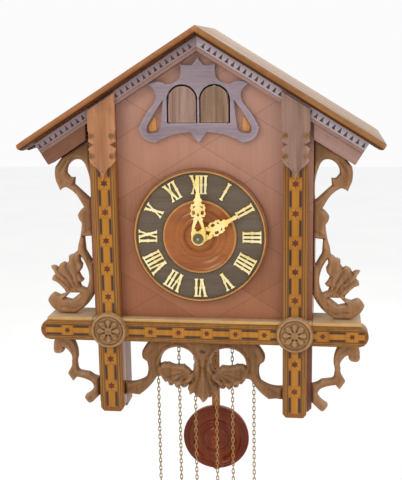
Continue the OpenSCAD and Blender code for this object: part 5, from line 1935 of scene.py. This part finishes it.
@dataclass
class Drive:
    """The chains, the cone weights and the pull rings."""

    y: float = INNER_Y + 18.0
    width: float = 4.4
    wire: float = 0.62
    pitch: float = 5.6
    top: float = -32.0
    weight_drop: float = 363.0
    ring_drop: float = 505.0
    weight_len: float = 110.0
    weight_r: float = 17.0
    sides: tuple[str, str, str] = ("left", "centre", "right")
    pull_x: Corner = (-63.0, 14.0, 63.0)
    ring_x: Corner = (-35.0, -14.0, 35.0)

    def link(self, x: float, z: float, flat: bool) -> Shape:
        """One link, an oval of wire.

        Args:
            x: Where the chain hangs.
            z: Its middle.
            flat: Whether it lies as seen from the front, or edge on.

        Returns:
            The link.
        """
        r = self.width / 2 - self.wire
        straight = self.pitch / 2 + self.wire - r
        path = []
        for a in around(14):
            across, along = r * math.cos(a), r * math.sin(a)
            along += straight if math.sin(a) > 1e-9 else (-straight if math.sin(a) < -1e-9 else 0)
            path.append((x + across, self.y, z + along) if flat
                        else (x, self.y + across, z + along))
        return tube(path, self.wire, closed=True, steps=6)

    def strand(self, x: float, low: float) -> Shape:
        """A hanging stretch of chain from below the chain wheel down to low."""
        made, z, flat = Shape(), self.top - self.pitch / 2, True
        while z - self.pitch / 2 > low:
            made.add(self.link(x, z, flat))
            z -= self.pitch
            flat = not flat
        return made

    def hook(self, x: float) -> Shape:
        """The hook at the loaded end, closed round the eye of the weight."""
        z = -self.weight_drop
        path = [(x, self.y, z + 12.0), (x, self.y, z + 9.0)]
        path += [(x + 3.1 * math.sin(a), self.y, z + 5.0 + 3.4 * math.cos(a))
                 for a in (math.pi * (0.1 + 1.65 * i / 14) for i in range(15))]
        return tube(path, 1.0, steps=10)

    def cone(self, x: float) -> Shape:
        """A cast pine cone with overlapping scales, and the eye on top of it."""
        rows, count, scales = [], 96, 11
        for i in range(count + 1):
            t = i / count
            base = self.weight_r * (math.sin(math.pi * min(1.0, t * 0.86 + 0.10)) ** 0.62)
            base = base * (1 - 0.45 * t * t) if t < 0.995 else 1.2
            row, v = [], t * 13
            for k, a in enumerate(around(88)):
                shift = 0.5 if int(v) % 2 else 0.0
                u = (k * scales / 88 + shift) % 1.0 - 0.5
                down = v % 1.0
                lip = max(0.0, 1 - (2 * u) ** 2) * (0.35 + 0.65 * down)
                r = base * (0.80 + 0.19 * lip) if 0 < i < count else base * 0.5
                row.append((x + r * math.cos(a), self.y + r * math.sin(a),
                            -self.weight_drop - 7.0 - (self.weight_len - 7.0) * t))
            rows.append(row)
        made = grid_shape(rows, caps=True).mapped(lambda a, b, c: (a, b, c), flip=True)
        eye = [(x, self.y + 2.6 * math.cos(a), -self.weight_drop - 0.6 + 3.0 * math.sin(a))
               for a in around(20)]
        made.add(tube(eye, 0.9, closed=True, steps=8))
        made.add(tube([(x, self.y, -self.weight_drop - 3.5), (x, self.y, -self.weight_drop - 9)],
                      [1.6, 3.2], steps=16))
        return made

    def ring(self, x: float) -> Shape:
        """The ring at the free end, seen edge on."""
        r = 7.4
        path = [(x, self.y + r * math.cos(a), -self.ring_drop + 9.0 + r * math.sin(a))
                for a in around(40)]
        return tube(path, 1.35, closed=True, steps=10)

    def build(self) -> None:
        """Makes the two strands of each chain and what hangs on them."""
        chain, iron = Palette.CHAIN, Palette.CONE
        for side, px, rx in zip(self.sides, self.pull_x, self.ring_x):
            strand = self.strand(px, -self.weight_drop + 10.0).add(self.hook(px))
            piece(f"chain_{side}_loaded", strand, [chain], f"weight_{side}",
                  [f"chain_weight_{side}"], 60)
            piece(f"cone_{side}", self.cone(px), [iron], f"weight_{side}",
                  [f"cone_weight_{side}"], 70)
            strand = self.strand(rx, -self.ring_drop + 16.0).add(self.ring(rx))
            piece(f"chain_{side}_free", strand, [chain], f"ring_{side}",
                  [f"chain_ring_{side}"], 60)


# ---- pendulum ----


@dataclass
class Pendulum:
    """The flat rod, and the turned bob that slides on it."""

    y: float = -33.5
    pivot_z: float = 70.0
    bob_z: float = -324.0
    bob_r: float = 47.5
    rod_half: float = 5.7

    def rod(self) -> Shape:
        """The flat rod, rounded at the top, and the thin pin at its foot."""
        end = self.bob_z - self.bob_r - 3.8
        h = self.rod_half
        top = [(h * math.sin(a), self.pivot_z + h * math.cos(a))
               for a in (math.pi * (i / 12 - 0.5) for i in range(13))]
        points = [(-h, end + 3)] + top + [(h, end + 3), (h * 0.3, end), (-h * 0.3, end)]
        return prism(points, self.y - 2.5, self.y + 2.5, 0.8)

    def bob(self) -> Shape:
        """The bob's turned face in front of the rod, and its back in two halves beside the rod."""
        r, y = self.bob_r, self.y + 4.5
        face = [(0, 7.1), (r - 0.4, 7.1), (r, 7.9, 0.2), (r - 0.4, 9.4, 0.4), (r - 1.8, 10.4, 0.5),
                (r - 4.2, 10.9, 0.5), (r - 6.6, 10.2, 0.3), (r - 7.4, 9.2), (r - 8.6, 8.4, -0.6),
                (27.5, 9.6, -0.5), (24.6, 11.8, 0.2), (23.4, 12.9, 0.5), (20.8, 13.4, 0.4),
                (18.9, 12.8, 0.1), (18.2, 12.0), (16.6, 11.9, -0.4), (11.0, 14.2, 0.3),
                (9.0, 16.0, 0.4), (4.5, 17.4, 0.3), (0, 17.9)]
        made = lathe(face, y, 0, self.bob_z, 160)
        h = self.rod_half + 0.1
        half = []
        for i in range(33):
            a = math.pi / 2 - math.pi * i / 32
            half.append((max(h, (r - 0.8) * math.cos(a)), self.bob_z + (r - 0.8) * math.sin(a)))
        cheek = prism(half, y - 7.3, y, 1.6, 3)
        made.add(cheek).add(cheek.mirror())
        return made

    def build(self) -> None:
        """Makes the rod and the bob."""
        piece("rod_flat", self.rod(), [Palette.ROD], "pendulum",
              ["pendulum_rod"])
        piece("bob_turned", self.bob(), [Palette.BOB], "bob",
              ["pendulum_bob"], 40)


# ---- sound and movement ----


@dataclass
class Sound:
    """The bellows with their pipes and folded skins, the gong and its hammer."""

    places: tuple[tuple[str, float, float, float], ...] = (
        ("lid_high", -109.0, -94.0, 80.0), ("lid_low", 109.0, -94.0, 105.0),
        ("lid_quail", -52.0, -63.0, 60.0))
    base_z: float = 32.0
    width: float = 30.0
    length: float = 58.0

    def pipe(self, x: float, y: float, tall: float) -> Shape:
        """A square pipe with its mouth, under a base board."""
        z = self.base_z
        made = box_shape((x - 12, y - 12, z - tall), (x + 12, y + 12, z), 0.7)
        made.add(box_shape((x - 7, y - 12.6, z - 15), (x + 7, y - 11.5, z - 13.2), 0.3))
        made.add(box_shape((x - 7, y - 12.6, z - 24), (x + 7, y - 11.5, z - 19), 0.3))
        made.add(box_shape((x - 15, y - 29, z), (x + 15, y + 29, z + 4), 0.7))
        return made

    def skin(self, x: float, y: float) -> Shape:
        """The folded skin between the base and the lid."""
        rows = []
        for i in range(9):
            inset = 1.6 if i % 2 == 0 else 4.0
            z = self.base_z + 3.9 + 8.1 * i / 8
            hx, hy = self.width / 2 - inset, self.length / 2 - inset
            rows.append([(x - hx, y - hy, z), (x, y - hy + 0.5, z), (x + hx, y - hy, z),
                         (x + hx - 0.5, y, z), (x + hx, y + hy, z), (x, y + hy - 0.5, z),
                         (x - hx, y + hy, z), (x - hx + 0.5, y, z)])
        return grid_shape(rows, caps=True)

    def build(self, nodes: Nodes) -> None:
        """Makes the pipes and skins, and dresses the lids, the gong and the hammer.

        Args:
            nodes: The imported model's objects by name.
        """
        boxes = Shape()
        for _, x, y, tall in self.places:
            boxes.add(self.pipe(x, y, tall))
        piece("bellows_pipes", boxes, [Palette.PINE], "case",
              ["bellows"])
        for body, x, y, _ in self.places:
            piece(f"skin_{body}", self.skin(x, y), [Palette.SKIN], "case",
                  (), 20)
            dress(nodes[f"bellows_{body}"], Palette.PINE)
        self.gong()
        dress(nodes["gong_hammer"], Palette.STEEL)

    def gong(self) -> None:
        """A flat coil of blued wire on a stud, and the washer that holds it."""
        path = []
        for i in range(4, 3 * 40 + 1):
            a, r = 2 * math.pi * i / 40, 1.2 + 34.0 * i / 120
            path.append((r * math.cos(a), -19.0, -38.0 + r * math.sin(a)))
        coil = tube(path, 1.15, steps=10)
        stud = lathe([(0, 0), (3.4, 0), (3.4, 1.4), (2.0, 1.6), (2.0, 12), (1.4, 12.6),
                      (0, 12.6)], -8.0, 0, -38.0, 32)
        piece("gong_coil", Shape().add(coil, 0).add(stud, 1),
              [Palette.BLUED, Palette.BRASS], "rear_door",
              ["gong"], 60)


@dataclass
class Movement:
    """The plates, wheels and arbors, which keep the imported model's teeth."""

    brass: tuple[str, ...] = ("hour_pipe", "minute_wheel", "cannon_pinion", "movement_frame",
                              "great_wheel", "centre_wheel", "third_wheel", "escape_wheel",
                              "cuckoo_great_wheel", "cuckoo_pin_wheel", "quail_great_wheel",
                              "quail_pin_wheel")
    steel: tuple[str, ...] = ("verge",)

    def build(self, nodes: Nodes) -> None:
        """Gives the metal parts their finish.

        Args:
            nodes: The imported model's objects by name.
        """
        for name in self.brass:
            dress(nodes[name], Palette.BRASS)
        for name in self.steel:
            dress(nodes[name], Palette.STEEL)


def main() -> None:
    """Builds the clock on its frame."""
    logging.basicConfig(level=logging.INFO, format="%(name)s: %(message)s")
    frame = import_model()
    nodes = frame["nodes"]
    studio = Studio()
    studio.camera()
    Case().build(nodes)
    Roof().build()
    Gable().build()
    InlaidFrame().build()
    Brackets().build()
    Apron().build()
    PostCaps().build()
    Rosettes().build()
    BirdDoors().build()
    Bird("cuckoo_carved", "cuckoo", -19.6, 7.8, Palette.GREY_BIRD, Palette.GREY_BIRD).build()
    Bird("quail_carved", "quail", 19.6, 8.2, Palette.BROWN_BIRD, Palette.BROWN_BIRD).build()
    Dial().build()
    Hands().build()
    Drive().build()
    Pendulum().build()
    Sound().build(nodes)
    Movement().build(nodes)
    studio.build()


if __name__ == "__main__":
    main()
